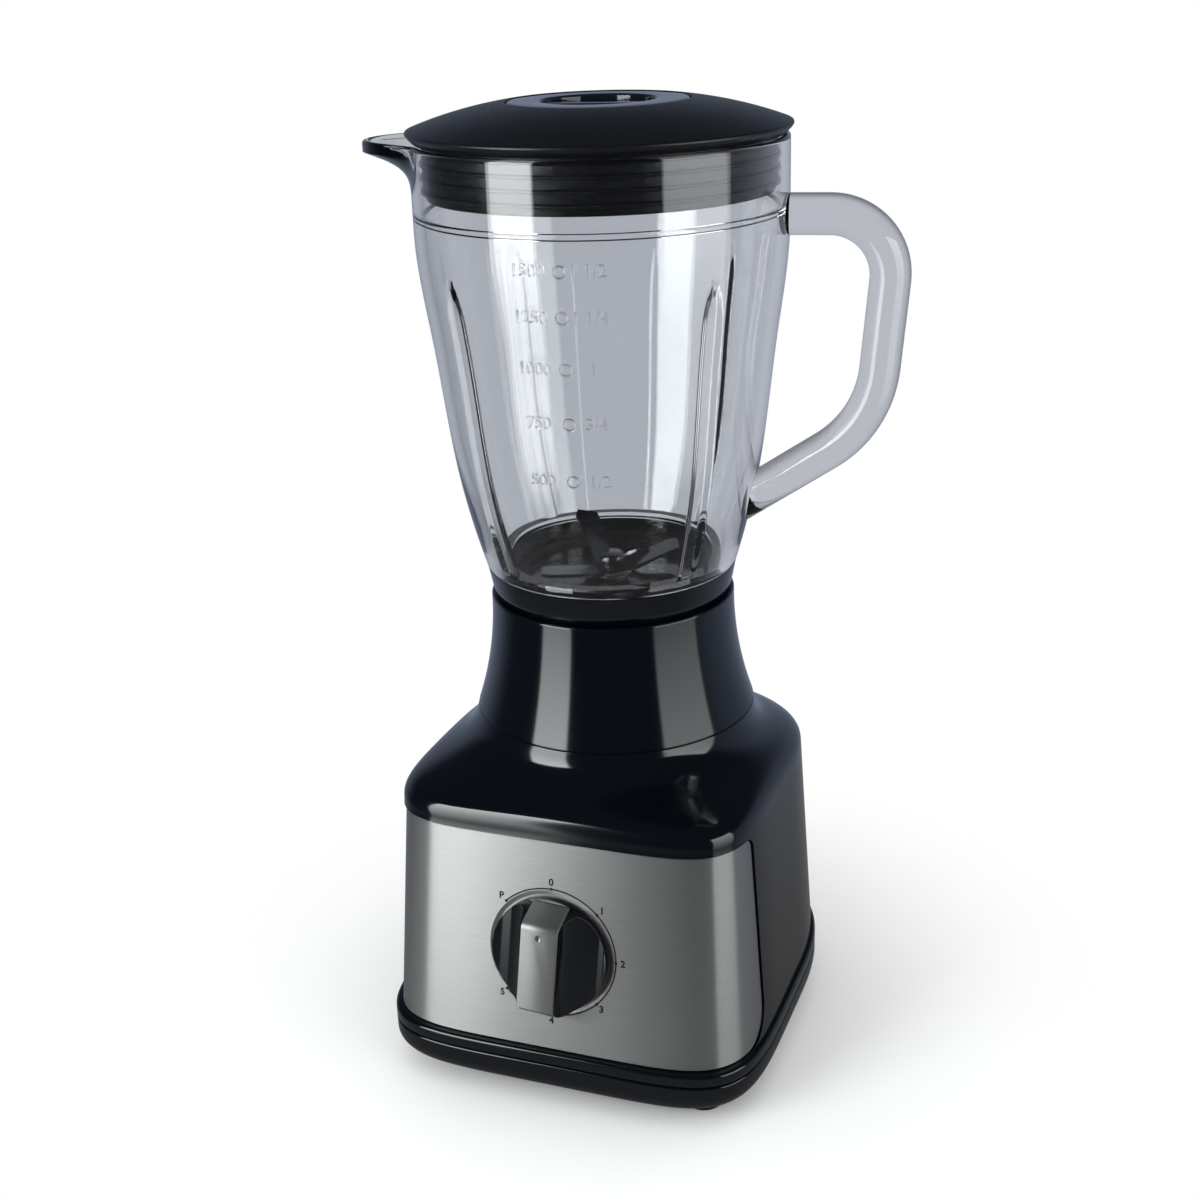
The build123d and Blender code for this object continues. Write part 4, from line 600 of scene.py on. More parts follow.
class RibTree:
    """Geometry Nodes tree that stacks rings of one section up an axis."""

    NAME = "stacked_rings"
    RING_STEPS = 160
    SECTION_STEPS = 12

    def tree(self) -> bpy.types.NodeTree:
        """The tree, made once."""
        made = bpy.data.node_groups.get(self.NAME)
        if made is not None:
            return made
        made = bpy.data.node_groups.new(self.NAME, "GeometryNodeTree")
        sockets = (
            ("Base", "Geometry"),
            ("Count", "Int"),
            ("Radius", "Float"),
            ("Section", "Float"),
            ("Pitch", "Float"),
            ("Lift", "Float"),
            ("Finish", "Material"),
        )
        for name, kind in sockets:
            made.interface.new_socket(name, in_out="INPUT", socket_type=f"NodeSocket{kind}")
        made.interface.new_socket("Rings", in_out="OUTPUT", socket_type="NodeSocketGeometry")
        given = add_node(made, "NodeGroupInput").outputs
        start = add_node(made, "ShaderNodeCombineXYZ", {"Z": given["Lift"]})
        step = add_node(made, "ShaderNodeCombineXYZ", {"Z": given["Pitch"]})
        line = add_node(
            made,
            "GeometryNodeMeshLine",
            {"Count": given["Count"], "Start Location": start.outputs[0], "Offset": step.outputs[0]},
        )
        circle = "GeometryNodeCurvePrimitiveCircle"
        ring = add_node(made, circle, {"Resolution": self.RING_STEPS, "Radius": given["Radius"]})
        section = add_node(made, circle, {"Resolution": self.SECTION_STEPS, "Radius": given["Section"]})
        bead = add_node(
            made, "GeometryNodeCurveToMesh", {"Curve": ring.outputs[0], "Profile Curve": section.outputs[0]}
        )
        stack = add_node(
            made, "GeometryNodeInstanceOnPoints", {"Points": line.outputs[0], "Instance": bead.outputs[0]}
        )
        both = add_node(made, "GeometryNodeJoinGeometry", {"Geometry": stack.outputs[0]})
        made.links.new(given["Base"], both.inputs["Geometry"])
        plain = add_node(made, "GeometryNodeRealizeInstances", {"Geometry": both.outputs[0]})
        dressed = add_node(
            made, "GeometryNodeSetMaterial", {"Geometry": plain.outputs[0], "Material": given["Finish"]}
        )
        add_node(made, "NodeGroupOutput", {"Rings": dressed.outputs[0]})
        return made


@dataclass(frozen=True)
class Levels:
    """Heights in millimetres that are read off the frame."""

    LIP: ClassVar[float] = 4.0
    GAP: ClassVar[float] = 0.6

    tray_low: float
    seam: float
    housing_low: float
    deck: float
    collar_top: float
    neck_low: float
    jug_rim: float
    plug_low: float
    lid_top: float
    stopper_top: float

    @classmethod
    def from_frame(cls) -> "Levels":
        """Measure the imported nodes."""

        def low(node: str) -> float:
            """Lowest point of a node."""
            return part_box(node)[0].z / MM

        def high(node: str) -> float:
            """Highest point of a node."""
            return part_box(node)[1].z / MM

        return cls(
            tray_low=low("bottom_tray"),
            seam=high("bottom_tray") - cls.LIP,
            housing_low=high("bottom_tray") - cls.LIP + cls.GAP,
            deck=low("collar"),
            collar_top=high("collar"),
            neck_low=low("glass_jug"),
            jug_rim=high("glass_jug"),
            plug_low=low("lid"),
            lid_top=high("lid"),
            stopper_top=high("stopper"),
        )


@dataclass(frozen=True)
class BasePlan:
    """Plan of the base: a rounded square with a flat front, walls that lean in and an S-shaped shoulder."""

    levels: Levels
    half_width: float = 81.7
    front: float = 90.6
    back: float = 85.0
    front_power: float = 5.7
    back_power: float = 2.7
    side_lean: float = 3.3
    front_lean: float = 6.0
    back_lean: float = 3.3
    shoulder_height: float = 27.5
    fullness: float = 0.5
    collar_foot: float = 58.8
    shoulder_end: float = 0.98
    shoulder_in: tuple[float, ...] = (0.0, 0.0, 0.9, 1.0)
    shoulder_up: tuple[float, ...] = (0.0, 0.46, 0.34, 1.0)

    @property
    def rim(self) -> float:
        """Height where the shoulder starts."""
        return self.levels.deck - self.shoulder_height

    def lean(self, angle: float, z: float) -> float:
        """How far a wall has leaned in at a height."""
        return (z - self.levels.seam) * math.tan(math.radians(angle))

    def sides(self, z: float, inset: float, front: bool) -> tuple[float, float, float]:
        """Half width, depth and power of the front or the back half of the plan."""
        half = self.half_width - self.lean(self.side_lean, z) - inset
        if front:
            return half, self.front - self.lean(self.front_lean, z) - inset, self.front_power
        return half, self.back - self.lean(self.back_lean, z) - inset, self.back_power

    def radius(self, angle: float, z: float, inset: float) -> float:
        """Radius of the plan in one direction."""
        across, along = math.cos(math.radians(angle)), math.sin(math.radians(angle))
        half, depth, power = self.sides(z, inset, along < 0)
        return (abs(across / half) ** power + abs(along / depth) ** power) ** (-1 / power)

    def point(self, angle: float, z: float, inset: float = 0.0, plan_z: float | None = None) -> Vector:
        """Point of the wall in one direction."""
        turn = math.radians(angle)
        radius = self.radius(angle, z if plan_z is None else plan_z, inset)
        return Vector((radius * math.cos(turn), radius * math.sin(turn), z))

    def shoulder(self, angle: float, t: float, inset: float = 0.0, drop: float = 0.0) -> Vector:
        """Point of the shoulder in one direction, a share t along its profile."""
        weights = ((1 - t) ** 3, 3 * t * (1 - t) ** 2, 3 * t * t * (1 - t), t**3)
        neck = sum(w * p for w, p in zip(weights, self.shoulder_in))
        height = sum(w * p for w, p in zip(weights, self.shoulder_up)) * self.shoulder_height
        turn = math.radians(angle)
        share = max(neck, 0.0) ** (1 - self.fullness * math.sin(turn))
        radius = (1 - share) * self.radius(angle, self.rim, inset) + share * (self.collar_foot - inset)
        return Vector((radius * math.cos(turn), radius * math.sin(turn), self.rim - drop + height))

    def face_y(self, x: float, z: float, inset: float) -> float:
        """Y of the front wall at a place across it."""
        half, depth, power = self.sides(z, inset, True)
        return -depth * (1 - abs(x / half) ** power) ** (1 / power)


@dataclass(frozen=True)
class PanelOutline:
    """Side view of the front panel: where it stops on the side walls, with rounded rear corners."""

    plan: BasePlan
    low: float = 27.1
    high: float = 118.6
    end: float = -52.0
    low_corner: float = 16.0
    high_corner: float = 5.0

    def rows(self, gap: float) -> list[float]:
        """Heights of the panel's rows, closer together where its corners round."""
        low, high = self.low + gap, self.high - gap
        low_corner, high_corner = self.low_corner - gap, self.high_corner - gap
        turns = spread(0.0, math.pi / 2, 10)
        rows = [low + low_corner * (1 - math.cos(t)) for t in turns]
        rows += spread(low + low_corner, high - high_corner, 12)[1:-1]
        rows += [high - high_corner * (1 - math.sin(t)) for t in spread(0.0, math.pi / 2, 6)]
        return rows

    def end_y(self, z: float, gap: float) -> float:
        """Y where the panel stops at a height."""
        end = self.end - gap
        corner, depth = self.low_corner - gap, self.low + self.low_corner - z
        if z > self.high - self.high_corner:
            corner, depth = self.high_corner - gap, z - (self.high - self.high_corner)
        if depth <= 0:
            return end
        return end - corner + math.sqrt(max(corner**2 - depth**2, 0.0))

    def end_angle(self, z: float, gap: float, inset: float) -> float:
        """Direction of the panel's right-hand end at a height."""
        target = self.end_y(z, gap)
        low, high = -90.0, 0.0
        for _ in range(40):
            middle = (low + high) / 2
            if self.plan.point(middle, z, inset).y < target:
                low = middle
            else:
                high = middle
        return low


@dataclass
class MotorBase:
    """The base: housing, steel panel, tray, collar and what is screwed to them."""

    plan: BasePlan
    outline: PanelOutline
    wall: float = 3.0
    deck: float = 4.0
    deck_hole: float = 24.0
    panel_set: float = 0.8
    sheet: float = 0.8
    edge_gap: float = 0.4
    edge_round: float = 0.25
    front_steps: int = 132
    back_steps: int = 228
    recess_low_edge: float = 0.1
    recess_high_edge: float = 0.15
    panel_sharp: float = 8.0
    dial_height: float = 70.7
    neck_radius: float = 5.0
    neck_cut: float = 8.0
    dish_size: Corner = (25.0, 26.9, 0.6)
    tray_steps: int = 320
    tray_edge: float = 9.0
    tray_round: float = 0.8
    lip_gap: float = 0.2
    lip_wall: float = 1.6
    floor_chamfer: float = 2.0
    tray_proud: float = 1.3
    skirt: float = 4.4
    ledge: float = 1.5
    seam_round: float = 0.5
    tray_floor: float = 2.6
    tray_shares: tuple[float, ...] = (0.0, 0.35, 0.7)
    foot_radius: float = 8.5
    foot_round: float = 1.8
    screw_head: Corner = (3.6, 2.4, 1.2)
    screw_shank: tuple[float, float] = (1.8, 12.0)
    screw_cross: Corner = (3.6, 0.9, 1.6)
    screw_cross_low: float = -3.1
    screw_cross_round: float = 0.1
    vent_inner: float = 16.0
    vent_outer: float = 36.0
    vent_width: float = 4.0
    vent_round: float = 1.9
    vent_count: int = 14
    collar_waist: tuple[float, float] = (52.9, 22.5)
    collar_top_radius: float = 50.6
    collar_wall: float = 2.6
    feet: tuple[tuple[float, float], ...] = ((58.0, -67.0), (-58.0, -67.0), (48.0, 50.0), (-48.0, 50.0))
    posts: tuple[tuple[float, float], ...] = ((57.0, -52.0), (-57.0, -52.0), (56.0, 36.0), (-56.0, 36.0))

    def build(self) -> None:
        """Make every visible piece of the base."""
        self.build_housing()
        self.build_panel()
        self.build_tray()
        self.build_collar()
        self.build_feet()
        self.build_tray_screws()

    def dial_place(self) -> Matrix:
        """Place of the dial's middle on the panel, its Z outwards and its Y up the panel."""
        tilt = math.radians(90 - self.plan.front_lean)
        place = Vector((0, self.plan.face_y(0, self.dial_height, self.panel_set), self.dial_height))
        return Matrix.Translation(place) @ Matrix.Rotation(tilt, 4, "X")

    def ways(self, end: float) -> tuple[list[float], list[float]]:
        """Directions of a ring's front part and back part, from where the panel ends."""
        return spread(-180 - end, end, self.front_steps), spread(end, 180 - end, self.back_steps)

    def ring(self, z: float, end: float, front_inset: float = 0.0, inset: float = 0.0) -> list[Vector]:
        """Closed ring round the walls, its front part set in on its own."""
        front, back = self.ways(end)
        ring = [self.plan.point(a, z, front_inset) for a in front]
        return ring + [self.plan.point(a, z, inset) for a in back]

    def dial_cutter(self, outline: Sequence[Corner], steps: int) -> bpy.types.Object:
        """Cutter turned about the dial's axis, from an outline of radius and height above the panel."""
        shell = turned(round_corners(outline, closed=False), steps, False)
        place = self.dial_place()
        shell.points = [place @ p for p in shell.points]
        shell.sheet = [(p.x * MM, p.z * MM) for p in shell.points]
        return build("dial_cutter", shell)

    def neck_hole(self) -> bpy.types.Object:
        """Cutter for the hole that the speed switch's neck passes through."""
        radius, deep = self.neck_radius, self.neck_cut
        return self.dial_cutter([(0, -deep, 0), (radius, -deep, 0), (radius, deep, 0), (0, deep, 0)], 48)

    def dish(self) -> bpy.types.Object:
        """Cutter for the shallow dish round the knob."""
        inner, outer, depth = self.dish_size
        above = outer + outer - inner
        return self.dial_cutter([(0, -depth, 0), (inner, -depth, 0), (above, depth, 0), (0, depth, 0)], 160)

    def skirt_rings(self, end: float) -> list[list[Vector]]:
        """Rings of the housing's foot: a band flush with the tray, then a rounded ledge in to the wall."""
        plan, low = self.plan, self.plan.levels.housing_low
        seam, edge = plan.levels.seam, self.seam_round
        top = seam + self.skirt
        front, back = self.ways(end)
        rings = []
        for turn in spread(0.0, math.pi / 2, 3):
            inset, z = edge * (1 - math.sin(turn)) - self.tray_proud, low + edge * (1 - math.cos(turn))
            rings.append([plan.point(a, z, inset, seam) for a in front + back])
        for turn in spread(0.0, math.pi / 2, 8):
            z, share = top + self.ledge * math.sin(turn), math.cos(turn)
            ring = []
            for a in front + back:
                wall, rim = plan.point(a, top + self.ledge), plan.point(a, z, -self.tray_proud, seam)
                ring.append(Vector((wall.x, wall.y, z)).lerp(rim, share))
            rings.append(ring)
        return rings

    def build_housing(self) -> None:
        """Hollow housing with the panel's recess, shoulder and deck."""
        plan, outline, low = self.plan, self.outline, self.plan.levels.housing_low
        recess = self.panel_set + self.sheet
        first, last = outline.end_angle(outline.low, 0, 0), outline.end_angle(outline.high, 0, 0)
        rings = self.skirt_rings(first)
        rings.append(self.ring(outline.low - self.recess_low_edge, first))
        rings.append(self.ring(outline.low, first, self.recess_low_edge))
        for z in outline.rows(0.0):
            rings.append(self.ring(z, outline.end_angle(z, 0, 0), recess))
        rings.append(self.ring(outline.high, last, self.recess_high_edge))
        rings.append(self.ring(outline.high + self.recess_high_edge, last))
        front, back = self.ways(last)
        for t in spread(0.0, plan.shoulder_end, 36):
            rings.append([plan.shoulder(a, t) for a in front + back])
        for turn in spread(0.0, math.pi / 2, 3):
            inset, drop = self.seam_round * (1 - math.cos(turn)), self.seam_round * (1 - math.sin(turn))
            rings.append([plan.shoulder(a, 1.0, inset, drop) for a in front + back])
        hole = [Vector((math.cos(math.radians(a)), math.sin(math.radians(a)), 0)) for a in front + back]
        for z in (plan.levels.deck, plan.levels.deck - self.deck):
            rings.append([p * self.deck_hole + Vector((0, 0, z)) for p in hole])
        for t in spread(1.0, 0.0, 10):
            rings.append([plan.shoulder(a, t, self.wall, self.deck) for a in front + back])
        rings.append(self.ring(low, last, self.wall, self.wall))
        housing = build("housing_shell", loft(rings, True))
        combine(housing, self.neck_hole(), Operation.CUT)
        finish_piece(housing, GLOSS_BLACK, Body.BASE, "housing")

    def panel_rows(self, gap: float, inset: float) -> list[list[Vector]]:
        """Rows of points across the panel."""
        rows = []
        for z in self.outline.rows(gap):
            front = self.ways(self.outline.end_angle(z, gap, inset))[0]
            rows.append([self.plan.point(a, z, inset) for a in front])
        return rows

    def build_panel(self) -> None:
        """Bent steel sheet with a broken edge; its strokes run across it."""
        layers = [
            self.panel_rows(self.edge_gap + self.edge_round, self.panel_set),
            self.panel_rows(self.edge_gap, self.panel_set + self.edge_round),
            self.panel_rows(self.edge_gap, self.panel_set + self.sheet),
        ]
        height, width = len(layers[0]), len(layers[0][0])
        points, sheet, faces = [], [], []
        for rows in layers:
            for row in rows:
                run = 0.0
                middle = sum((b - a).length for a, b in zip(row, row[1:])) / 2
                for i, point in enumerate(row):
                    run += (point - row[i - 1]).length if i else 0.0
                    points.append(point)
                    sheet.append(((run - middle) * MM, point.z * MM))
        size = height * width
        for layer in (0, 2):
            for row in range(height - 1):
                first = [layer * size + row * width + i for i in range(width)]
                faces += strip(first, [i + width for i in first], False)
        border = list(range(width))
        border += [row * width + width - 1 for row in range(1, height)]
        border += [(height - 1) * width + i for i in range(width - 2, -1, -1)]
        border += [row * width for row in range(height - 2, 0, -1)]
        for layer in (0, 1):
            first = [layer * size + i for i in border]
            faces += strip(first, [i + size for i in first], True)
        panel = build("steel_panel", Shell(points, faces, sheet), self.panel_sharp)
        combine(panel, self.dish(), Operation.CUT, self.panel_sharp)
        combine(panel, self.neck_hole(), Operation.CUT, self.panel_sharp)
        finish_piece(panel, PANEL_STEEL, Body.BASE, "front_panel")

    def build_tray(self) -> None:
        """Bottom tray: rounded lower edge, centring lip and a ring of vents."""
        levels = self.plan.levels
        low, seam, edge, proud = levels.tray_low, levels.seam, self.tray_edge, self.tray_proud
        angles = [360 * i / self.tray_steps for i in range(self.tray_steps)]

        def ring(z: float, inset: float, share: float = 1.0) -> list[Vector]:
            """Ring round the tray, drawn in to a share of its size."""
            flat = [self.plan.point(a, seam, inset) for a in angles]
            return [Vector((p.x * share, p.y * share, z)) for p in flat]

        rings = [ring(low, edge - proud, share) for share in self.tray_shares]
        for turn in spread(0.0, math.pi / 2, 12):
            rings.append(ring(low + edge * (1 - math.cos(turn)), edge * (1 - math.sin(turn)) - proud))
        for turn in spread(0.0, math.pi / 2, 4):
            drop, inset = self.tray_round * (1 - math.sin(turn)), self.tray_round * (1 - math.cos(turn))
            rings.append(ring(seam - drop, inset - proud))
        lip, rise = self.wall + self.lip_gap, Levels.LIP
        within = lip + self.lip_wall
        for z, inset in ((seam, lip), (seam + rise, lip), (seam + rise, within), (seam - rise, within)):
            rings.append(ring(z, inset))
        floor, corner = low + self.tray_floor, edge + self.wall + self.floor_chamfer
        rings.append(ring(floor + self.floor_chamfer, edge + self.wall))
        rings += [ring(floor, corner, share) for share in (1.0, *reversed(self.tray_shares))]
        tray = build("tray_shell", loft(rings, False))
        slot_length = self.vent_outer - self.vent_inner
        slot = build("vent", swept_box((slot_length, self.vent_width, 3 * self.tray_floor), self.vent_round))
        middle = (self.vent_inner + self.vent_outer) / 2
        places = [
            Matrix.Rotation(math.tau * i / self.vent_count, 4, "Z")
            @ Matrix.Translation((middle, 0, low - self.tray_floor))
            for i in range(self.vent_count)
        ]
        combine(tray, CopyTree().copies("vents", slot, places, GLOSS_BLACK), Operation.CUT)
        finish_piece(tray, GLOSS_BLACK, Body.BASE, "bottom_tray")

    def build_collar(self) -> None:
        """Flared ring under the jug, with a rounded top edge."""
        deck, top = self.plan.levels.deck, self.plan.levels.collar_top
        waist_radius, waist_height = self.collar_waist
        radii = (self.plan.collar_foot, waist_radius, self.collar_top_radius)
        heights = (deck, deck + waist_height, top)
        outer = [Vector((r, z)) for r, z in zip(radii, heights)]
        inner = [Vector((r - self.collar_wall, z)) for r, z in zip(radii, heights)]
        side = arc_through(*outer, 40)
        back = arc_through(*reversed(inner), 20)
        rounding = self.collar_wall / 3
        corners = [(side[0].x, side[0].y, self.seam_round)] + [(p.x, p.y, 0.0) for p in side[1:-1]]
        corners += [(side[-1].x, top, rounding), (back[0].x, top, rounding)]
        corners += [(p.x, p.y, 0.0) for p in back[1:]]
        collar = build("collar_ring", turned(round_corners(corners), 200))
        finish_piece(collar, GLOSS_BLACK, Body.BASE, "collar")

    def build_feet(self) -> None:
        """Four rubber feet."""
        top = self.plan.levels.tray_low
        corners = [(0, 0, 0), (self.foot_radius, 0, self.foot_round), (self.foot_radius, top, 0.0)]
        outline = round_corners(corners, 5, False) + [Vector((0, top))]
        foot = build("foot", turned(outline, 48, False))
        places = [Matrix.Translation((x, y, 0)) for x, y in self.feet]
        feet = CopyTree().copies("feet", foot, places, BLACK_RUBBER)
        finish_piece(feet, BLACK_RUBBER, Body.BASE, "rubber_feet")

    def build_tray_screws(self) -> None:
        """Four pan-head screws under the tray."""
        radius, deep, rounding = self.screw_head
        shank, length = self.screw_shank
        head = [(0, -deep, 0), (radius, -deep, rounding), (radius, 0, 0)]
        side = head + [(shank, 0, 0), (shank, length, 0), (0, length, 0)]
        screw = build("screw", turned(round_corners(side, 4, False), 40, False))
        for turn in (0, 90):
            slot = swept_box(self.screw_cross, self.screw_cross_round)
            spin, lift = Matrix.Rotation(math.radians(turn), 3, "Z"), Vector((0, 0, self.screw_cross_low))
            slot.points = [spin @ p + lift for p in slot.points]
            combine(screw, build("cross", slot), Operation.CUT)
        places = [Matrix.Translation((x, y, self.plan.levels.tray_low)) for x, y in self.posts]
        screws = CopyTree().copies("tray_screw_set", screw, places, PLATED_STEEL)
        finish_piece(screws, PLATED_STEEL, Body.BASE, "tray_screws")


@dataclass
class DialPrint:
    """Printed scale: P, then 0 to 5 in eighths of a turn, with dots on a thin line."""

    base: MotorBase
    figure_radius: float = 30.5
    line_radius: float = 27.6
    line_width: float = 0.6
    dot_width: float = 1.3
    figure_size: float = 4.1
    figure_weight: float = 0.13
    film: float = 0.05
    film_gap: float = 0.02
    figures: tuple[str, ...] = ("P", "0", "1", "2", "3", "4", "5")
    first_angle: float = -45.0
    step_angle: float = 45.0

    def angles(self) -> list[float]:
        """Clockwise angle of each figure from the top."""
        return [self.first_angle + self.step_angle * i for i in range(len(self.figures))]

    def lay(self, flat: Vector) -> Vector:
        """Put a flat point of the print on the curved panel, in metres."""
        place = self.base.dial_place() @ Vector((flat.x, flat.y, 0))
        skin = self.base.plan.face_y(place.x, place.z, self.base.panel_set)
        return Vector((place.x, skin - self.film_gap - flat.z, place.z)) * MM

    def build(self) -> None:
        """Make the print as one thin mesh."""
        half = self.dot_width / 2
        rim = [(0, 0), (half, 0), (half, self.film), (0, self.film)]
        dot = build("dot", turned([Vector(p) for p in rim], 20, False))
        places = []
        for angle in self.angles():
            spin = Matrix.Rotation(-math.radians(angle), 4, "Z")
            places.append(spin @ Matrix.Translation((0, self.line_radius, 0)))
        printed = CopyTree().copies("dial_print", dot, places, PRINT_INK)
        work = bmesh.new()
        work.from_mesh(printed.data)
        for angle, figure in zip(self.angles(), self.figures):
            turn = math.radians(angle)
            centre = Vector((math.sin(turn), math.cos(turn), 0)) * self.figure_radius
            add_text(work, figure, self.figure_size, self.film, centre, self.figure_weight)
        self.add_line(work)
        for vert in work.verts:
            vert.co = self.lay(vert.co / MM)
        work.to_mesh(printed.data)
        work.free()
        clean(printed.data, SHARP)
        finish_piece(printed, PRINT_INK, Body.BASE)

    def add_line(self, work: bmesh.types.BMesh) -> None:
        """Thin arc from the first figure to the last."""
        angles = spread(math.radians(self.angles()[0]), math.radians(self.angles()[-1]), 120)
        low, high = self.line_radius - self.line_width / 2, self.line_radius + self.line_width / 2
        lift = Vector((0, 0, self.film))
        sections = []
        for angle in angles:
            out = Vector((math.sin(angle), math.cos(angle), 0))
            sections.append([out * low, out * high, out * high + lift, out * low + lift])
        shell = loft(sections, False)
        verts = [work.verts.new(p * MM) for p in shell.points]
        for face in shell.faces:
            work.faces.new([verts[i] for i in face])


def add_text(
    work: bmesh.types.BMesh,
    text: str,
    size: float,
    depth: float,
    centre: Vector,
    weight: float = 0.0,
    edge: float = 0.0,
) -> None:
    """Add raised figures to a mesh, flat on XY.

    Args:
        work: Mesh in metres that gets them.
        text: The figures.
        size: Height of a line in millimetres.
        depth: Rise of the figures in millimetres.
        centre: Middle of the figures in millimetres.
        weight: How much bolder the strokes are on each side, in millimetres.
        edge: Rounding of the edges in millimetres.
    """
    curve = bpy.data.curves.new("figures", "FONT")
    curve.body = text
    curve.size = size
    curve.align_x = "CENTER"
    curve.align_y = "CENTER"
    curve.extrude = depth / 2 - edge
    curve.offset = weight - edge
    curve.bevel_depth = edge
    curve.bevel_resolution = 2
    curve.resolution_u = 4
    obj = bpy.data.objects.new("figures", curve)
    bpy.context.scene.collection.objects.link(obj)
    graph = bpy.context.evaluated_depsgraph_get()
    mesh = bpy.data.meshes.new_from_object(obj.evaluated_get(graph), depsgraph=graph)
    mesh.transform(Matrix.Scale(MM, 4) @ Matrix.Translation(centre + Vector((0, 0, depth / 2))))
    work.from_mesh(mesh)
    bpy.data.objects.remove(obj)
    bpy.data.meshes.remove(mesh)


@dataclass
class GlassJug:
    """The glass jug: a pressed shell with ribs inside, a spout, a handle and raised graduations."""

    levels: Levels
    turn: float = 8.0
    sharp: float = 40.0
    height: float = 170.0
    knots: tuple[tuple[float, float], ...] = ((51.6, 0.0), (60.5, 36.0), (68.2, 94.0), (72.8, 138.0))
    flare: float = 0.3
    wall: float = 4.6
    sill: float = 4.0
    neck_radius: float = 46.6
    neck_wall: float = 4.0
    mouth_wall: float = 3.2
    mouth_depth: float = 25.4
    bead: float = 0.6
    bead_height: float = 2.6
    bead_drop: float = 0.3
    bead_gap: float = 2.0
    neck_margin: float = 1.0
    side_steps: tuple[int, int] = (44, 60)
    foot_round: float = 1.2
    rim_round: float = 1.3
    rim_crowding: float = 1.6
    rib_first: float = 48.0
    rib_count: int = 4
    rib_half_width: float = 5.4
    rib_depth: float = 2.2
    rib_flat: float = 0.35
    rib_top: float = 121.0
    rib_taper: float = 14.0
    rib_least: float = 0.05
    rib_margin: float = 1.3
    rib_steps: tuple[int, int] = (56, 66)
    spout_start: float = 2.0
    spout_reach: float = 94.4
    spout_half_angle: float = 30.0
    spout_power: float = 1.1
    spout_lip: float = 4.6
    spout_fall: float = 14.5
    spout_fall_power: float = 2.6
    trough_wall: float = 3.2
    trough_lip: float = 1.6
    trough_fall: float = 13.0
    trough_power: float = 2.2
    handle_width: float = 18.5
    handle_thick: float = 15.8
    handle_top: float = 29.2
    handle_reach: float = 113.5
    handle_knee: float = 106.3
    handle_drop: float = 80.7
    handle_slope: float = 33.0
    handle_root: float = 63.0
    handle_bite: float = 1.0
    handle_search: float = 20.0
    handle_sides: int = 40
    handle_bends: tuple[float, float] = (23.0, 45.0)
    handle_first: tuple[float, ...] = (0.15, 0.3, 0.6)
    handle_last: tuple[float, ...] = (0.3, 0.6, 0.8, 0.9, 1.0)
    marks: tuple[tuple[str, str, float], ...] = (
        ("1500", "1 1/2", 131.7),
        ("1250", "1 1/4", 114.7),
        ("1000", "1", 95.3),
        ("750", "3/4", 74.3),
        ("500", "1/2", 51.4),
    )
    mark_look: tuple[float, float] = (6.6, 0.7)
    mark_off: float = 0.06
    mark_places: tuple[float, float] = (-12.0, 10.0)
    mark_weight: float = 0.05
    mark_edge: float = 0.12
    ring_radius: float = 2.2
    ring_bead: float = 0.4

    @property
    def foot(self) -> float:
        """Height of the foot of the visible glass."""
        return self.levels.jug_rim - self.height

    def side(self, inset: float, foot: float, steps: int) -> list[Vector]:
        """Curve of the jug's side from its foot to its straight top part."""
        knots = [Vector((r - inset, self.foot + z)) for r, z in self.knots]
        knots[0].y = foot
        return clamped_curve(knots, Vector((self.flare, 1)), Vector((0, 1)), steps)

    def wall_curve(self, inset: float) -> tuple[list[float], list[float]]:
        """Heights and radii along the plain wall, set in from its outside."""
        curve = self.side(inset, self.foot, self.side_steps[1])
        return [p.y for p in curve], [p.x for p in curve]

    def spout(self, way: float, depth: float, inside: bool) -> float:
        """How far the spout pulls the wall out, in one direction and at a depth below the rim."""
        off = abs(math.degrees(way) % 360 - 180)
        if off >= self.spout_half_angle:
            return 0.0
        swell = (0.5 + 0.5 * math.cos(math.pi * off / self.spout_half_angle)) ** self.spout_power
        reach = self.spout_reach - self.knots[-1][0]
        lip, fall, power = self.spout_lip, self.spout_fall, self.spout_fall_power
        if inside:
            reach += self.mouth_wall - self.trough_wall
            lip, fall, power = self.trough_lip, self.trough_fall, self.trough_power
        share = min(max((depth - lip) / fall, 0.0), 1.0)
        return reach * swell * (1 - share) ** power

    def rib(self, way: float, z: float, radius: float) -> float:
        """How far the ribs push the inside wall inwards, where the outside has a radius."""
        pitch = 360 / self.rib_count
        off = (math.degrees(way) - self.rib_first + pitch / 2) % pitch - pitch / 2
        top = self.foot + self.rib_top
        fade = math.sqrt(1 - min(max(1 - (top - z) / self.rib_taper, 0.0), 1.0) ** 2)
        width = self.rib_half_width * max(fade, self.rib_least)
        across = abs(math.radians(off)) * radius / width
        if across >= 1 or z > top:
            return 0.0
        return self.rib_depth * fade * smooth((1 - across) / (1 - self.rib_flat))

    def ways(self) -> list[float]:
        """Directions of the points of a ring, closer together across the ribs."""
        pitch = 360 / self.rib_count
        rib = math.degrees(self.rib_half_width / self.knots[0][0]) * self.rib_margin
        fine, coarse = self.rib_steps
        turns = []
        for i in range(self.rib_count):
            middle = self.rib_first + i * pitch
            turns += spread(middle - rib, middle + rib, fine)[:-1]
            turns += spread(middle + rib, middle + pitch - rib, coarse)[:-1]
        return [math.radians(a) for a in turns]

    def build(self) -> None:
        """Make the glass with its handle and graduations."""
        jug = build("jug_shell", self.shell(), self.sharp)
        combine(jug, build("jug_handle", self.handle()), Operation.JOIN, self.sharp)
        jug.data.transform(Matrix.Rotation(math.radians(self.turn), 4, "Z"))
        finish_piece(jug, JUG_GLASS, Body.JUG, "glass_jug")
        self.build_marks()

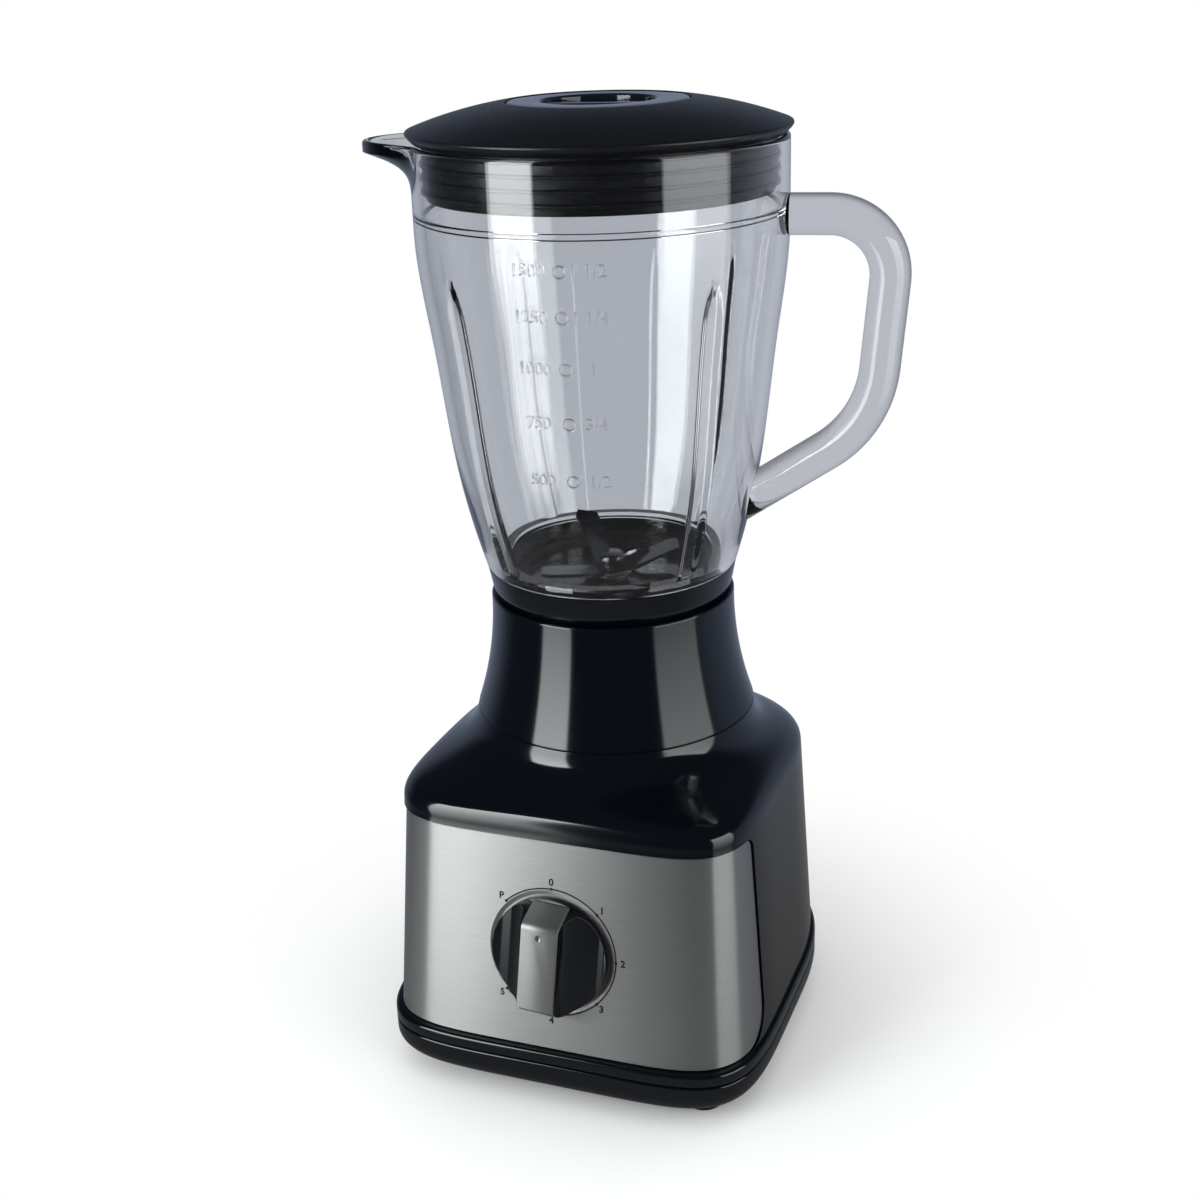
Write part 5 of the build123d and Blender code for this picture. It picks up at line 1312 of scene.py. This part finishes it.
    def depths(self) -> list[float]:
        """Depths below the rim of the mouth's rings, crowded towards the rim."""
        rows = [self.mouth_depth * (1 - t) ** self.rim_crowding for t in spread(0.0, 1.0, 24)]
        return [d for d in rows if d > self.rim_round]

    def rounding(self) -> list[tuple[float, float]]:
        """Set-back and depth of the points that round one edge of the rim, from below."""
        turns = spread(0.0, math.pi / 2, 4)
        return [(self.rim_round * (1 - math.cos(t)), self.rim_round * (1 - math.sin(t))) for t in turns]

    def outside(self) -> list[Vector]:
        """Outline of radius and height from the neck's lower end up the outside to the rim."""
        rim, body = self.levels.jug_rim, self.knots[-1][0]
        neck, low = self.neck_radius, self.levels.neck_low
        side = self.side(0.0, self.foot, self.side_steps[0])
        corner = [(neck, self.foot, 0), (side[0].x, self.foot, self.foot_round), (*side[1], 0)]
        outline = [Vector((neck - self.neck_wall, low)), Vector((neck, low))]
        outline += round_corners(corner, 4, False)[:-1] + side[1:]
        outline += [Vector((body, rim - d)) for d in self.depths()]
        return outline + [Vector((body - back, rim - d)) for back, d in self.rounding()]

    def inside(self) -> list[Vector]:
        """Outline of radius and height from the rim down the inside to the neck."""
        rim, body = self.levels.jug_rim, self.knots[-1][0]
        mouth, ledge, sill = body - self.mouth_wall, rim - self.mouth_depth, self.foot + self.sill
        outline = [Vector((mouth + back, rim - d)) for back, d in reversed(self.rounding())]
        outline += [Vector((mouth, rim - d)) for d in reversed(self.depths())]
        for turn in spread(0.0, math.pi, 8):
            drop = self.bead_drop + self.bead_height * (1 - math.cos(turn)) / 2
            outline.append(Vector((body - self.wall - self.bead * math.sin(turn), ledge - drop)))
        side = self.side(self.wall, sill, self.side_steps[0])
        outline.append(Vector((body - self.wall, side[-1].y + self.bead_gap)))
        return outline + side[::-1] + [Vector((self.neck_radius - self.neck_wall, sill))]

    def ring(self, at: Vector, inside: bool) -> list[Vector]:
        """Ring of the wall at one point of its outline, pulled out by the spout or pushed in by the ribs."""
        rim, ways = self.levels.jug_rim, self.ways()
        neck = self.neck_radius - self.neck_wall + self.neck_margin
        radii = [at.x for _ in ways]
        if at.y > rim - self.mouth_depth + self.spout_start:
            radii = [at.x + self.spout(way, rim - at.y, inside) for way in ways]
        elif inside and at.y >= self.foot + self.sill and at.x > neck:
            wall = float(np.interp(at.y, *self.wall_curve(0.0)))
            radii = [at.x - self.rib(way, at.y, wall) for way in ways]
        return [Vector((r * math.cos(way), r * math.sin(way), at.y)) for r, way in zip(radii, ways)]

    def shell(self) -> Shell:
        """Closed wall of the jug, with its spout and ribs."""
        rings = [self.ring(p, False) for p in self.outside()]
        return loft(rings + [self.ring(p, True) for p in self.inside()], True)

    def handle_path(self) -> list[Vector]:
        """Side view of the handle's middle line, with closer steps towards its ends."""
        top = self.levels.jug_rim - self.handle_top
        knee = top - self.handle_drop
        root = knee - (self.handle_knee - self.handle_root) * math.tan(math.radians(self.handle_slope))
        corners = [
            (self.knots[-1][0] - self.handle_bite, top, 0),
            (self.handle_reach, top, self.handle_bends[0]),
            (self.handle_knee, knee, self.handle_bends[1]),
            (self.handle_root, root, 0),
        ]
        path = round_corners(corners, 22, False)
        path[1:1] = [path[0].lerp(path[1], t) for t in self.handle_first]
        path[-1:] = [path[-2].lerp(path[-1], t) for t in self.handle_last]
        return path

    def handle(self) -> Shell:
        """Rounded bar through two bends, its ends fitted to the middle of the wall."""
        path = self.handle_path()
        turns = [math.tau * k / self.handle_sides for k in range(self.handle_sides)]
        rings = []
        for i, p in enumerate(path):
            ahead = (path[min(i + 1, len(path) - 1)] - path[max(i - 1, 0)]).normalized()
            up = Vector((-ahead.y, 0, ahead.x)) * (self.handle_thick / 2)
            out = Vector((0, self.handle_width / 2, 0))
            rings.append([Vector((p.x, 0, p.y)) + out * math.cos(a) + up * math.sin(a) for a in turns])
        end = (path[-1] - path[-2]).normalized()
        rings[0] = [self.to_wall(p, Vector((-1, 0, 0))) for p in rings[0]]
        rings[-1] = [self.to_wall(p, Vector((end.x, 0, end.y))) for p in rings[-1]]
        return loft(rings, False)

    def to_wall(self, point: Vector, way: Vector) -> Vector:
        """Slide a point along a direction until it is in the middle of the wall."""
        curve = self.wall_curve(self.wall / 2)

        def depth(step: float) -> float:
            """How far outside the wall's middle the point is after a step."""
            p = point + way * step
            return math.hypot(p.x, p.y) - float(np.interp(p.z, *curve))

        low, high = -self.handle_search, self.handle_search
        for _ in range(40):
            middle = (low + high) / 2
            if depth(middle) > 0:
                low = middle
            else:
                high = middle
        return point + way * low

    def build_marks(self) -> None:
        """Raised figures and rings on the side that faces the front."""
        turns = spread(0, math.tau, 10)[:-1]
        bead = [Vector((math.cos(a), math.sin(a))) * self.ring_bead for a in turns]
        source = build("ring", turned([p + Vector((self.ring_radius, 0)) for p in bead], 40))
        rise = self.ring_bead + self.mark_off
        places = [Matrix.Translation((0, self.foot + z, rise)) for _, _, z in self.marks]
        raised = CopyTree().copies("jug_graduations", source, places, JUG_GLASS)
        work = bmesh.new()
        work.from_mesh(raised.data)
        for *figures, z in self.marks:
            for text, x in zip(figures, self.mark_places):
                centre = Vector((x, self.foot + z, self.mark_off))
                add_text(work, text, *self.mark_look, centre, self.mark_weight, self.mark_edge)
        middle = math.radians(self.turn - 90)
        flat = [vert.co / MM for vert in work.verts]
        radii = np.interp([p.y for p in flat], *self.wall_curve(0.0))
        for vert, p, radius in zip(work.verts, flat, radii.tolist()):
            way, out = middle + p.x / radius, radius + p.z
            vert.co = Vector((out * math.cos(way), out * math.sin(way), p.y)) * MM
        work.to_mesh(raised.data)
        work.free()
        clean(raised.data, SHARP)
        finish_piece(raised, JUG_GLASS, Body.JUG)


@dataclass
class Lid:
    """Grained lid with its plug, and the ribbed seal round the plug."""

    levels: Levels
    radius: float = 74.6
    edge_radius: float = 73.2
    plug_depth: float = 20.5
    plug_radius: float = 67.2
    plug_wall: float = 2.6
    pocket: float = 35.5
    hole: float = 30.8
    lip: float = 1.2
    crown: float = 1.2
    seat_depth: float = 3.9
    rim_rise: float = 3.8
    edge: tuple[float, float] = (2.0, 2.0)
    roof: float = 1.0
    sleeve_wall: float = 2.4
    sleeve: tuple[float, float] = (3.0, 12.0)
    seal_sleeve: float = 0.9
    seal_rib: float = 0.8
    seal_reach: float = 69.2
    seal_low: float = 3.0
    seal_pitch: float = 5.0
    seal_count: int = 3

    def build(self) -> None:
        """Make the lid and its seal."""
        top, plug = self.levels.lid_top, self.levels.plug_low
        low = plug + self.plug_depth
        seat = top - self.seat_depth
        rim = low + self.rim_rise
        lip = self.pocket + self.lip
        middle = Vector(((self.radius + lip) / 2, (rim + top) / 2 + self.crown))
        dome = arc_through(Vector((lip, top)), middle, Vector((self.radius, rim)), 28)
        inside, sleeve = self.plug_radius - self.plug_wall, self.hole + self.sleeve_wall
        sleeve_top, sleeve_low = (seat - drop for drop in self.sleeve)
        edge_in, edge_rise = self.edge
        corners = [(self.hole, seat, 0.3), (self.pocket, seat, 0.3), (self.pocket, top, 0.4)]
        corners += [(p.x, p.y, 0.0) for p in dome[:-1]]
        corners += [
            (self.radius, rim, 0.9),
            (self.edge_radius, low + edge_rise, 0.8),
            (self.edge_radius - edge_in, low, 0.5),
            (self.plug_radius, low, 0.0),
            (self.plug_radius, plug, 0.8),
            (inside, plug, 0.8),
            (inside, rim - self.roof, 1.0),
            (sleeve, sleeve_top, 0.8),
            (sleeve, sleeve_low, 0.6),
            (self.hole, sleeve_low, 0.6),
        ]
        lid = build("lid_cover", turned(round_corners(corners, 4), 200))
        finish_piece(lid, SATIN_BLACK, Body.LID, "lid")
        self.build_seal(plug)

    def build_seal(self, plug: float) -> None:
        """Make the seal: a sleeve on the plug with rings of a round section."""
        seal_low = plug + self.seal_low
        seal_top = seal_low + self.seal_count * self.seal_pitch
        sleeve = [
            (self.plug_radius, seal_low, 0.0),
            (self.plug_radius + self.seal_sleeve, seal_low, 0.4),
            (self.plug_radius + self.seal_sleeve, seal_top, 0.4),
            (self.plug_radius, seal_top, 0.0),
        ]
        seal = build("lid_seal_ribbed", turned(round_corners(sleeve), 160))
        values = {
            "Count": self.seal_count,
            "Radius": (self.seal_reach - self.seal_rib) * MM,
            "Section": self.seal_rib * MM,
            "Pitch": self.seal_pitch * MM,
            "Lift": (seal_low + self.seal_rib) * MM,
            "Finish": BLACK_RUBBER.material(),
        }
        grow(seal, RibTree().tree(), values)
        finish_piece(seal, BLACK_RUBBER, Body.LID, "lid_seal")


@dataclass
class Stopper:
    """Smoky stopper: a small cup with a finger recess and a grip bar across it."""

    levels: Levels
    turn: float = 8.0
    radius: float = 35.1
    disc: float = 3.4
    tube_radius: float = 30.4
    wall: float = 2.2
    depth: float = 23.0
    recess_radius: float = 22.0
    recess: float = 15.5
    bar: float = 9.0
    bar_drop: float = 1.2
    bar_round: float = 1.4

    def build(self) -> None:
        """Make the stopper as one closed piece."""
        top = self.levels.stopper_top
        under, floor, low = top - self.disc, top - self.recess, top - self.depth
        well = self.recess_radius + self.wall
        inside = self.tube_radius - self.wall
        corners = [
            (0, floor, 0),
            (self.recess_radius, floor, 2.0),
            (self.recess_radius, top, 1.0),
            (self.radius, top, 1.1),
            (self.radius, under, 0.3),
            (self.tube_radius, under, 0.3),
            (self.tube_radius, low, 0.6),
            (inside, low, 0.6),
            (inside, under, 0.3),
            (well, under, 0.3),
            (well, floor - self.wall, 1.0),
            (0, floor - self.wall, 0),
        ]
        stopper = build("stopper_cup", turned(round_corners(corners, 5, False), 160, False))
        bar_low = floor - self.wall / 2
        size = (2 * well - self.wall, self.bar, top - self.bar_drop - bar_low)
        bar = swept_box(size, self.bar_round, 4)
        bar.points = [p + Vector((0, 0, bar_low)) for p in bar.points]
        combine(stopper, build("grip", bar), Operation.JOIN)
        stopper.data.transform(Matrix.Rotation(math.radians(self.turn), 4, "Z"))
        finish_piece(stopper, SMOKE_CLEAR, Body.STOPPER, "stopper")


@dataclass
class Fittings:
    """Pieces that keep the frame's own shape: the mechanism, the knob and small trim."""

    nodes: dict[str, bpy.types.Object]
    sharp: float = 30.0
    flat_angle: float = 0.6
    edge_angle: float = 40.0
    knob_edge: float = 0.5

    def dress(self, node: str, finish: Finish, body: Body, bevel: float = 0.0) -> None:
        """Copy a node, merge it, break its edges and give it its finish.

        Args:
            node: Name of the node.
            finish: Finish of the piece.
            body: Body that it rides.
            bevel: Width of the broken edges in millimetres, or 0.
        """
        mesh = self.nodes[node].data.copy()
        mesh.materials.clear()
        obj = make_object(f"{node}_dressed", mesh)
        clean(mesh, self.sharp)
        if bevel:
            work = bmesh.new()
            work.from_mesh(mesh)
            flat = math.radians(self.flat_angle)
            bmesh.ops.dissolve_limit(work, angle_limit=flat, verts=work.verts, edges=work.edges)
            work.to_mesh(mesh)
            work.free()
            step = obj.modifiers.new("broken_edges", "BEVEL")
            step.width = bevel * MM
            step.segments = 3
            step.limit_method = "ANGLE"
            step.angle_limit = math.radians(self.edge_angle)
            step.harden_normals = True
            bake(obj)
        finish_piece(obj, finish, body, node)

    def build(self) -> None:
        """Dress every remaining node."""
        plain = {
            Body.BASE: {
                "jug_seat": SATIN_BLACK,
                "seat_screws": PLATED_STEEL,
                "motor_lower_bracket": CAST_ALUMINIUM,
                "motor_upper_bracket": CAST_ALUMINIUM,
                "motor_lower_bearing": SINTERED_BRONZE,
                "motor_upper_bearing": SINTERED_BRONZE,
                "stator_core": MOTOR_IRON,
                "field_coils": ENAMEL_COPPER,
                "motor_bolts": PLATED_STEEL,
                "motor_dampers": BLACK_RUBBER,
                "motor_mount_screws": PLATED_STEEL,
                "brush_holders": GREY_NYLON,
                "carbon_brushes": BLACK_CARBON,
                "brush_springs": PLATED_STEEL,
                "speed_switch": GREY_NYLON,
                "switch_nut": PLATED_STEEL,
                "cord_gland": BLACK_RUBBER,
                "suppressor": GREY_NYLON,
            },
            Body.ROTOR: {
                "motor_shaft": PLATED_STEEL,
                "armature_core": MOTOR_IRON,
                "armature_winding": ENAMEL_COPPER,
                "commutator": ENAMEL_COPPER,
                "cooling_fan": GREY_NYLON,
                "drive_coupling": BLACK_RUBBER,
            },
            Body.JUG: {
                "jug_base_ring": GLOSS_BLACK,
                "jug_gasket": BLACK_RUBBER,
                "blade_carrier": GLOSS_BLACK,
                "blade_bush": SINTERED_BRONZE,
                "shaft_seal": BLACK_RUBBER,
            },
            Body.BLADES: {
                "blade_shaft": PLATED_STEEL,
                "blade_washer": PLATED_STEEL,
                "lower_blade": BLADE_STEEL,
                "upper_blade": BLADE_STEEL,
                "blade_nut": BLADE_STEEL,
                "driven_coupling": BLACK_RUBBER,
            },
            Body.KNOB: {"switch_spindle": PLATED_STEEL},
        }
        for body, finishes in plain.items():
            for node, finish in finishes.items():
                self.dress(node, finish, body)
        self.dress("speed_knob", GLOSS_BLACK, Body.KNOB, self.knob_edge)


@dataclass
class KnobPlate:
    """Bent steel plate on the knob's bar: a ramp, a rounded bend and a flat face with a dimple."""

    base: MotorBase
    turn: float = 3.8
    half_width: float = 7.8
    sheet: float = 1.0
    rise: float = 15.0
    foot: tuple[float, float] = (22.3, 3.6)
    bend: float = 17.5
    bend_round: float = 3.0
    tail: float = -18.2
    edge: float = 0.35
    dimple_place: float = 13.4
    dimple: tuple[float, float] = (2.2, 1.6)

    def place(self) -> Matrix:
        """Place of the knob: its middle on the panel, turned a little from the zero mark."""
        return self.base.dial_place() @ Matrix.Rotation(-math.radians(self.turn), 4, "Z")

    def section(self, low: Vector, high: Vector) -> list[Vector]:
        """Ring across the plate between its underside and its face, with rounded upper edges."""
        out = (high - low).normalized()
        half, tall = self.half_width, (high - low).length
        corners = [(-half, 0, 0), (half, 0, 0), (half, tall, self.edge), (-half, tall, self.edge)]
        flat = round_corners(corners, 3)
        return [Vector((p.x, low.x + out.x * p.y, low.y + out.y * p.y)) for p in flat]

    def build(self) -> None:
        """Make the plate."""
        slope = math.atan2(self.rise - self.foot[1], self.foot[0] - self.bend)
        lift = self.sheet * math.tan(slope / 2)
        corner = (self.bend, self.rise, self.bend_round - self.sheet)
        under = [(self.tail, self.rise, 0), corner, (*self.foot, 0)]
        toe = (self.foot[0] + self.sheet * math.sin(slope), self.foot[1] + self.sheet * math.cos(slope), 0)
        crown = (self.bend + lift, self.rise + self.sheet, self.bend_round)
        over = [(self.tail, self.rise + self.sheet, 0), crown, toe]
        rows = zip(round_corners(under, 10, False), round_corners(over, 10, False))
        shell = loft([self.section(low, high) for low, high in rows], False)
        shell.points = [self.place() @ p for p in shell.points]
        plate = build("knob_plate_bent", shell)
        radius, off = self.dimple
        ball = [Vector((radius * math.sin(t), -radius * math.cos(t))) for t in spread(0.0, math.pi, 24)]
        cutter = turned(ball, 48, False)
        spot = self.place() @ Matrix.Translation((0, self.dimple_place, self.rise + self.sheet + off))
        cutter.points = [spot @ p for p in cutter.points]
        combine(plate, build("dimple_cutter", cutter), Operation.CUT)
        layer = plate.data.uv_layers.new(name="run")
        for loop in plate.data.loops:
            point = plate.data.vertices[loop.vertex_index].co
            layer.data[loop.index].uv = (point.x, point.z)
        finish_piece(plate, SHADED_KNOB_STEEL, Body.KNOB, "knob_plate")


@dataclass(frozen=True)
class Softbox:
    """Upright glowing card that faces the object, brighter towards its top and soft at its edges.

    Its way is in degrees about the upright axis, its distance, size and lower edge are in metres, and
    its levels are the brightness at its lower and upper edge.
    """

    name: str
    way: float
    far: float
    width: float
    height: float
    low: float
    levels: tuple[float, float]
    soft_side: float = 0.92
    soft_foot: float = 0.12
    tone: Colour = (0.96, 0.99, 1.0, 1.0)

    def build(self) -> None:
        """Make the card and set it on the stage."""
        half, height = self.width / 2, self.height
        mesh = bpy.data.meshes.new(self.name)
        corners = [(-half, 0, 0), (half, 0, 0), (half, 0, height), (-half, 0, height)]
        mesh.from_pydata(corners, [], [(0, 1, 2, 3)])
        card = make_object(self.name, mesh)
        turn = math.radians(self.way)
        place = Vector((self.far * math.cos(turn), self.far * math.sin(turn), self.low))
        card.matrix_world = Matrix.Translation(place) @ Matrix.Rotation(turn + math.pi / 2, 4, "Z")
        card.visible_camera = False
        mesh.materials.append(self.cloth())

    def cloth(self) -> bpy.types.Material:
        """Glowing white cloth."""
        half = self.width / 2
        cloth = bpy.data.materials.new(f"{self.name}_cloth")
        cloth.use_nodes = True
        tree = cloth.node_tree
        tree.nodes.clear()
        spot = add_node(tree, "ShaderNodeTexCoord").outputs["Object"]
        parts = add_node(tree, "ShaderNodeSeparateXYZ", {0: spot}).outputs
        low, high = self.levels
        rise = {"Value": parts["Z"], "From Max": self.height, "To Min": low, "To Max": high}
        level = add_node(tree, "ShaderNodeMapRange", rise).outputs["Result"]
        across = add_node(tree, "ShaderNodeMath", {0: parts["X"]}, operation="ABSOLUTE").outputs[0]
        side = soft_step(tree, across, half, self.soft_side * half)
        foot = soft_step(tree, parts["Z"], 0.0, self.soft_foot)
        bright = math_node(tree, "MULTIPLY", level, math_node(tree, "MULTIPLY", side, foot))
        glow = add_node(tree, "ShaderNodeEmission", {"Color": self.tone, "Strength": bright})
        add_node(tree, "ShaderNodeOutputMaterial", {"Surface": glow.outputs[0]})
        return cloth


@dataclass
class Studio:
    """White floor and backdrop, two softboxes and the camera.

    Lengths are in metres. A pair of levels is what lies in front and behind, a pair of lengths is where
    a step starts and ends, and the lens and its sensor are in millimetres.
    """

    eye: Corner = (0.23745, -0.64255, 0.4551)
    bearing: float = 20.752
    pitch: float = 21.042
    roll: float = -1.925
    lens: float = 52.38
    sensor: float = 36.0
    clip: float = 0.01
    floor_side: float = 4.0
    floor_white: float = 0.9
    floor_shade: float = 0.2
    paper: tuple[float, float] = (0.1, 0.24)
    mirrored_paper: tuple[float, float] = (0.12, 0.5)
    ambient: float = 0.95
    studio: tuple[float, float] = (0.045, 0.29)
    wall_across: tuple[float, float] = (-0.1, 0.5)
    wall_up: tuple[float, float] = (0.5, 0.15)
    behind_glass: tuple[float, float] = (0.03, 0.56)
    glass_across: tuple[float, float] = (0.1, 0.85)
    cool: Colour = (0.86, 1.0, 1.35, 1.0)
    cool_glass: Colour = (1.0, 1.03, 1.12, 1.0)
    softboxes: tuple[Softbox, ...] = (
        Softbox("left_softbox", -124.2, 1.2, 0.64, 1.5, -0.6, (1.2, 11.0)),
        Softbox("right_softbox", -11.5, 1.3, 1.1, 1.5, -0.6, (0.5, 4.3)),
    )

    def build(self) -> None:
        """Set the stage."""
        self.build_floor()
        self.build_world()
        for softbox in self.softboxes:
            softbox.build()
        self.build_camera()
        bpy.context.scene.view_settings.view_transform = "Standard"

    def build_floor(self) -> None:
        """Lay the floor."""
        side = self.floor_side
        mesh = bpy.data.meshes.new("floor")
        corners = [(-side, -side, 0), (side, -side, 0), (side, side, 0), (-side, side, 0)]
        mesh.from_pydata(corners, [], [(0, 1, 2, 3)])
        mesh.materials.append(self.floor_paper())
        make_object("floor", mesh)

    def floor_paper(self) -> bpy.types.Material:
        """Pale paper that keeps the shadow near the object and runs out to plain white far from it."""
        material = bpy.data.materials.new("floor_paper")
        material.use_nodes = True
        tree = material.node_tree
        tree.nodes.clear()
        place = add_node(tree, "ShaderNodeTexCoord").outputs["Object"]
        far = add_node(tree, "ShaderNodeVectorMath", {0: place}, operation="LENGTH").outputs["Value"]
        ray = add_node(tree, "ShaderNodeLightPath").outputs
        eye, mirror, glass = ray["Is Camera Ray"], ray["Is Glossy Ray"], ray["Is Transmission Ray"]
        start, end = (blend(tree, mirror, a, b) for a, b in zip(self.paper, self.mirrored_paper))
        edge = soft_step(tree, far, start, end)
        # Its reflection is dimmer than the paper, as in the shade of a real table.
        shade = blend(tree, mirror, self.floor_white, self.floor_shade)
        paper = add_node(tree, "ShaderNodeBsdfDiffuse", {"Color": shade}).outputs[0]
        level = blend(tree, eye, self.behind_glass[1], 1.0)
        hue = tint(tree, glass, WHITE, self.cool_glass)
        white = add_node(tree, "ShaderNodeEmission", {"Color": hue, "Strength": level}).outputs[0]
        gone = add_node(tree, "ShaderNodeBsdfTransparent").outputs[0]
        # Past the paper the eye sees white, and reflections see the dark studio and the softboxes' feet.
        beyond = add_node(tree, "ShaderNodeMixShader", {0: mirror, 1: white, 2: gone}).outputs[0]
        seen = math_node(tree, "MAXIMUM", math_node(tree, "MAXIMUM", eye, glass), mirror)
        share = math_node(tree, "MULTIPLY", edge, seen)
        mix = add_node(tree, "ShaderNodeMixShader", {0: share, 1: paper, 2: beyond}).outputs[0]
        add_node(tree, "ShaderNodeOutputMaterial", {"Surface": mix})
        return material

    def build_world(self) -> None:
        """White to the eye, a grey backdrop behind the object, and a dark studio in front of it."""
        world = bpy.data.worlds.new("studio")
        bpy.context.scene.world = world
        world.use_nodes = True
        tree = world.node_tree
        tree.nodes.clear()
        way = add_node(tree, "ShaderNodeTexCoord").outputs["Generated"]
        parts = add_node(tree, "ShaderNodeSeparateXYZ", {0: way}).outputs
        behind = soft_step(tree, parts["Y"], *self.wall_across)
        below = soft_step(tree, parts["Z"], *self.wall_up)
        mirrored = blend(tree, math_node(tree, "MULTIPLY", behind, below), *self.studio)
        through = blend(tree, soft_step(tree, parts["Y"], *self.glass_across), *self.behind_glass)
        ray = add_node(tree, "ShaderNodeLightPath").outputs
        eye, mirror, glass = ray["Is Camera Ray"], ray["Is Glossy Ray"], ray["Is Transmission Ray"]
        level = blend(tree, mirror, self.ambient, mirrored)
        level = blend(tree, eye, blend(tree, glass, level, through), 1.0)
        # The studio's walls are cool, which shows in the black parts and a little through the glass.
        hue = tint(tree, glass, tint(tree, mirror, WHITE, self.cool), self.cool_glass)
        light = add_node(tree, "ShaderNodeBackground", {"Color": hue, "Strength": level})
        add_node(tree, "ShaderNodeOutputWorld", {"Surface": light.outputs[0]})

    def build_camera(self) -> None:
        """Camera that sees the object as the photograph does."""
        bearing, pitch, roll = (math.radians(v) for v in (self.bearing, self.pitch, self.roll))
        ahead = Vector(
            (-math.sin(bearing) * math.cos(pitch), math.cos(bearing) * math.cos(pitch), -math.sin(pitch))
        )
        right = Vector((math.cos(bearing), math.sin(bearing), 0))
        up = right.cross(ahead)
        across = right * math.cos(roll) + up * math.sin(roll)
        upright = up * math.cos(roll) - right * math.sin(roll)
        camera = bpy.data.cameras.new("camera")
        camera.lens = self.lens
        camera.sensor_width = self.sensor
        camera.clip_start = self.clip
        obj = bpy.data.objects.new("camera", camera)
        bpy.context.scene.collection.objects.link(obj)
        turn = Matrix((across, upright, -ahead)).transposed().to_4x4()
        obj.matrix_world = Matrix.Translation(Vector(self.eye)) @ turn
        bpy.context.scene.camera = obj


def main() -> None:
    """Build every sub-assembly in order."""
    logging.basicConfig(level=logging.INFO, format="%(name)s %(message)s")
    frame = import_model()
    levels = Levels.from_frame()
    plan = BasePlan(levels)
    base = MotorBase(plan, PanelOutline(plan))
    base.build()
    DialPrint(base).build()
    GlassJug(levels).build()
    Lid(levels).build()
    Stopper(levels).build()
    Fittings(frame["nodes"]).build()
    KnobPlate(base).build()
    Studio().build()


if __name__ == "__main__":
    main()
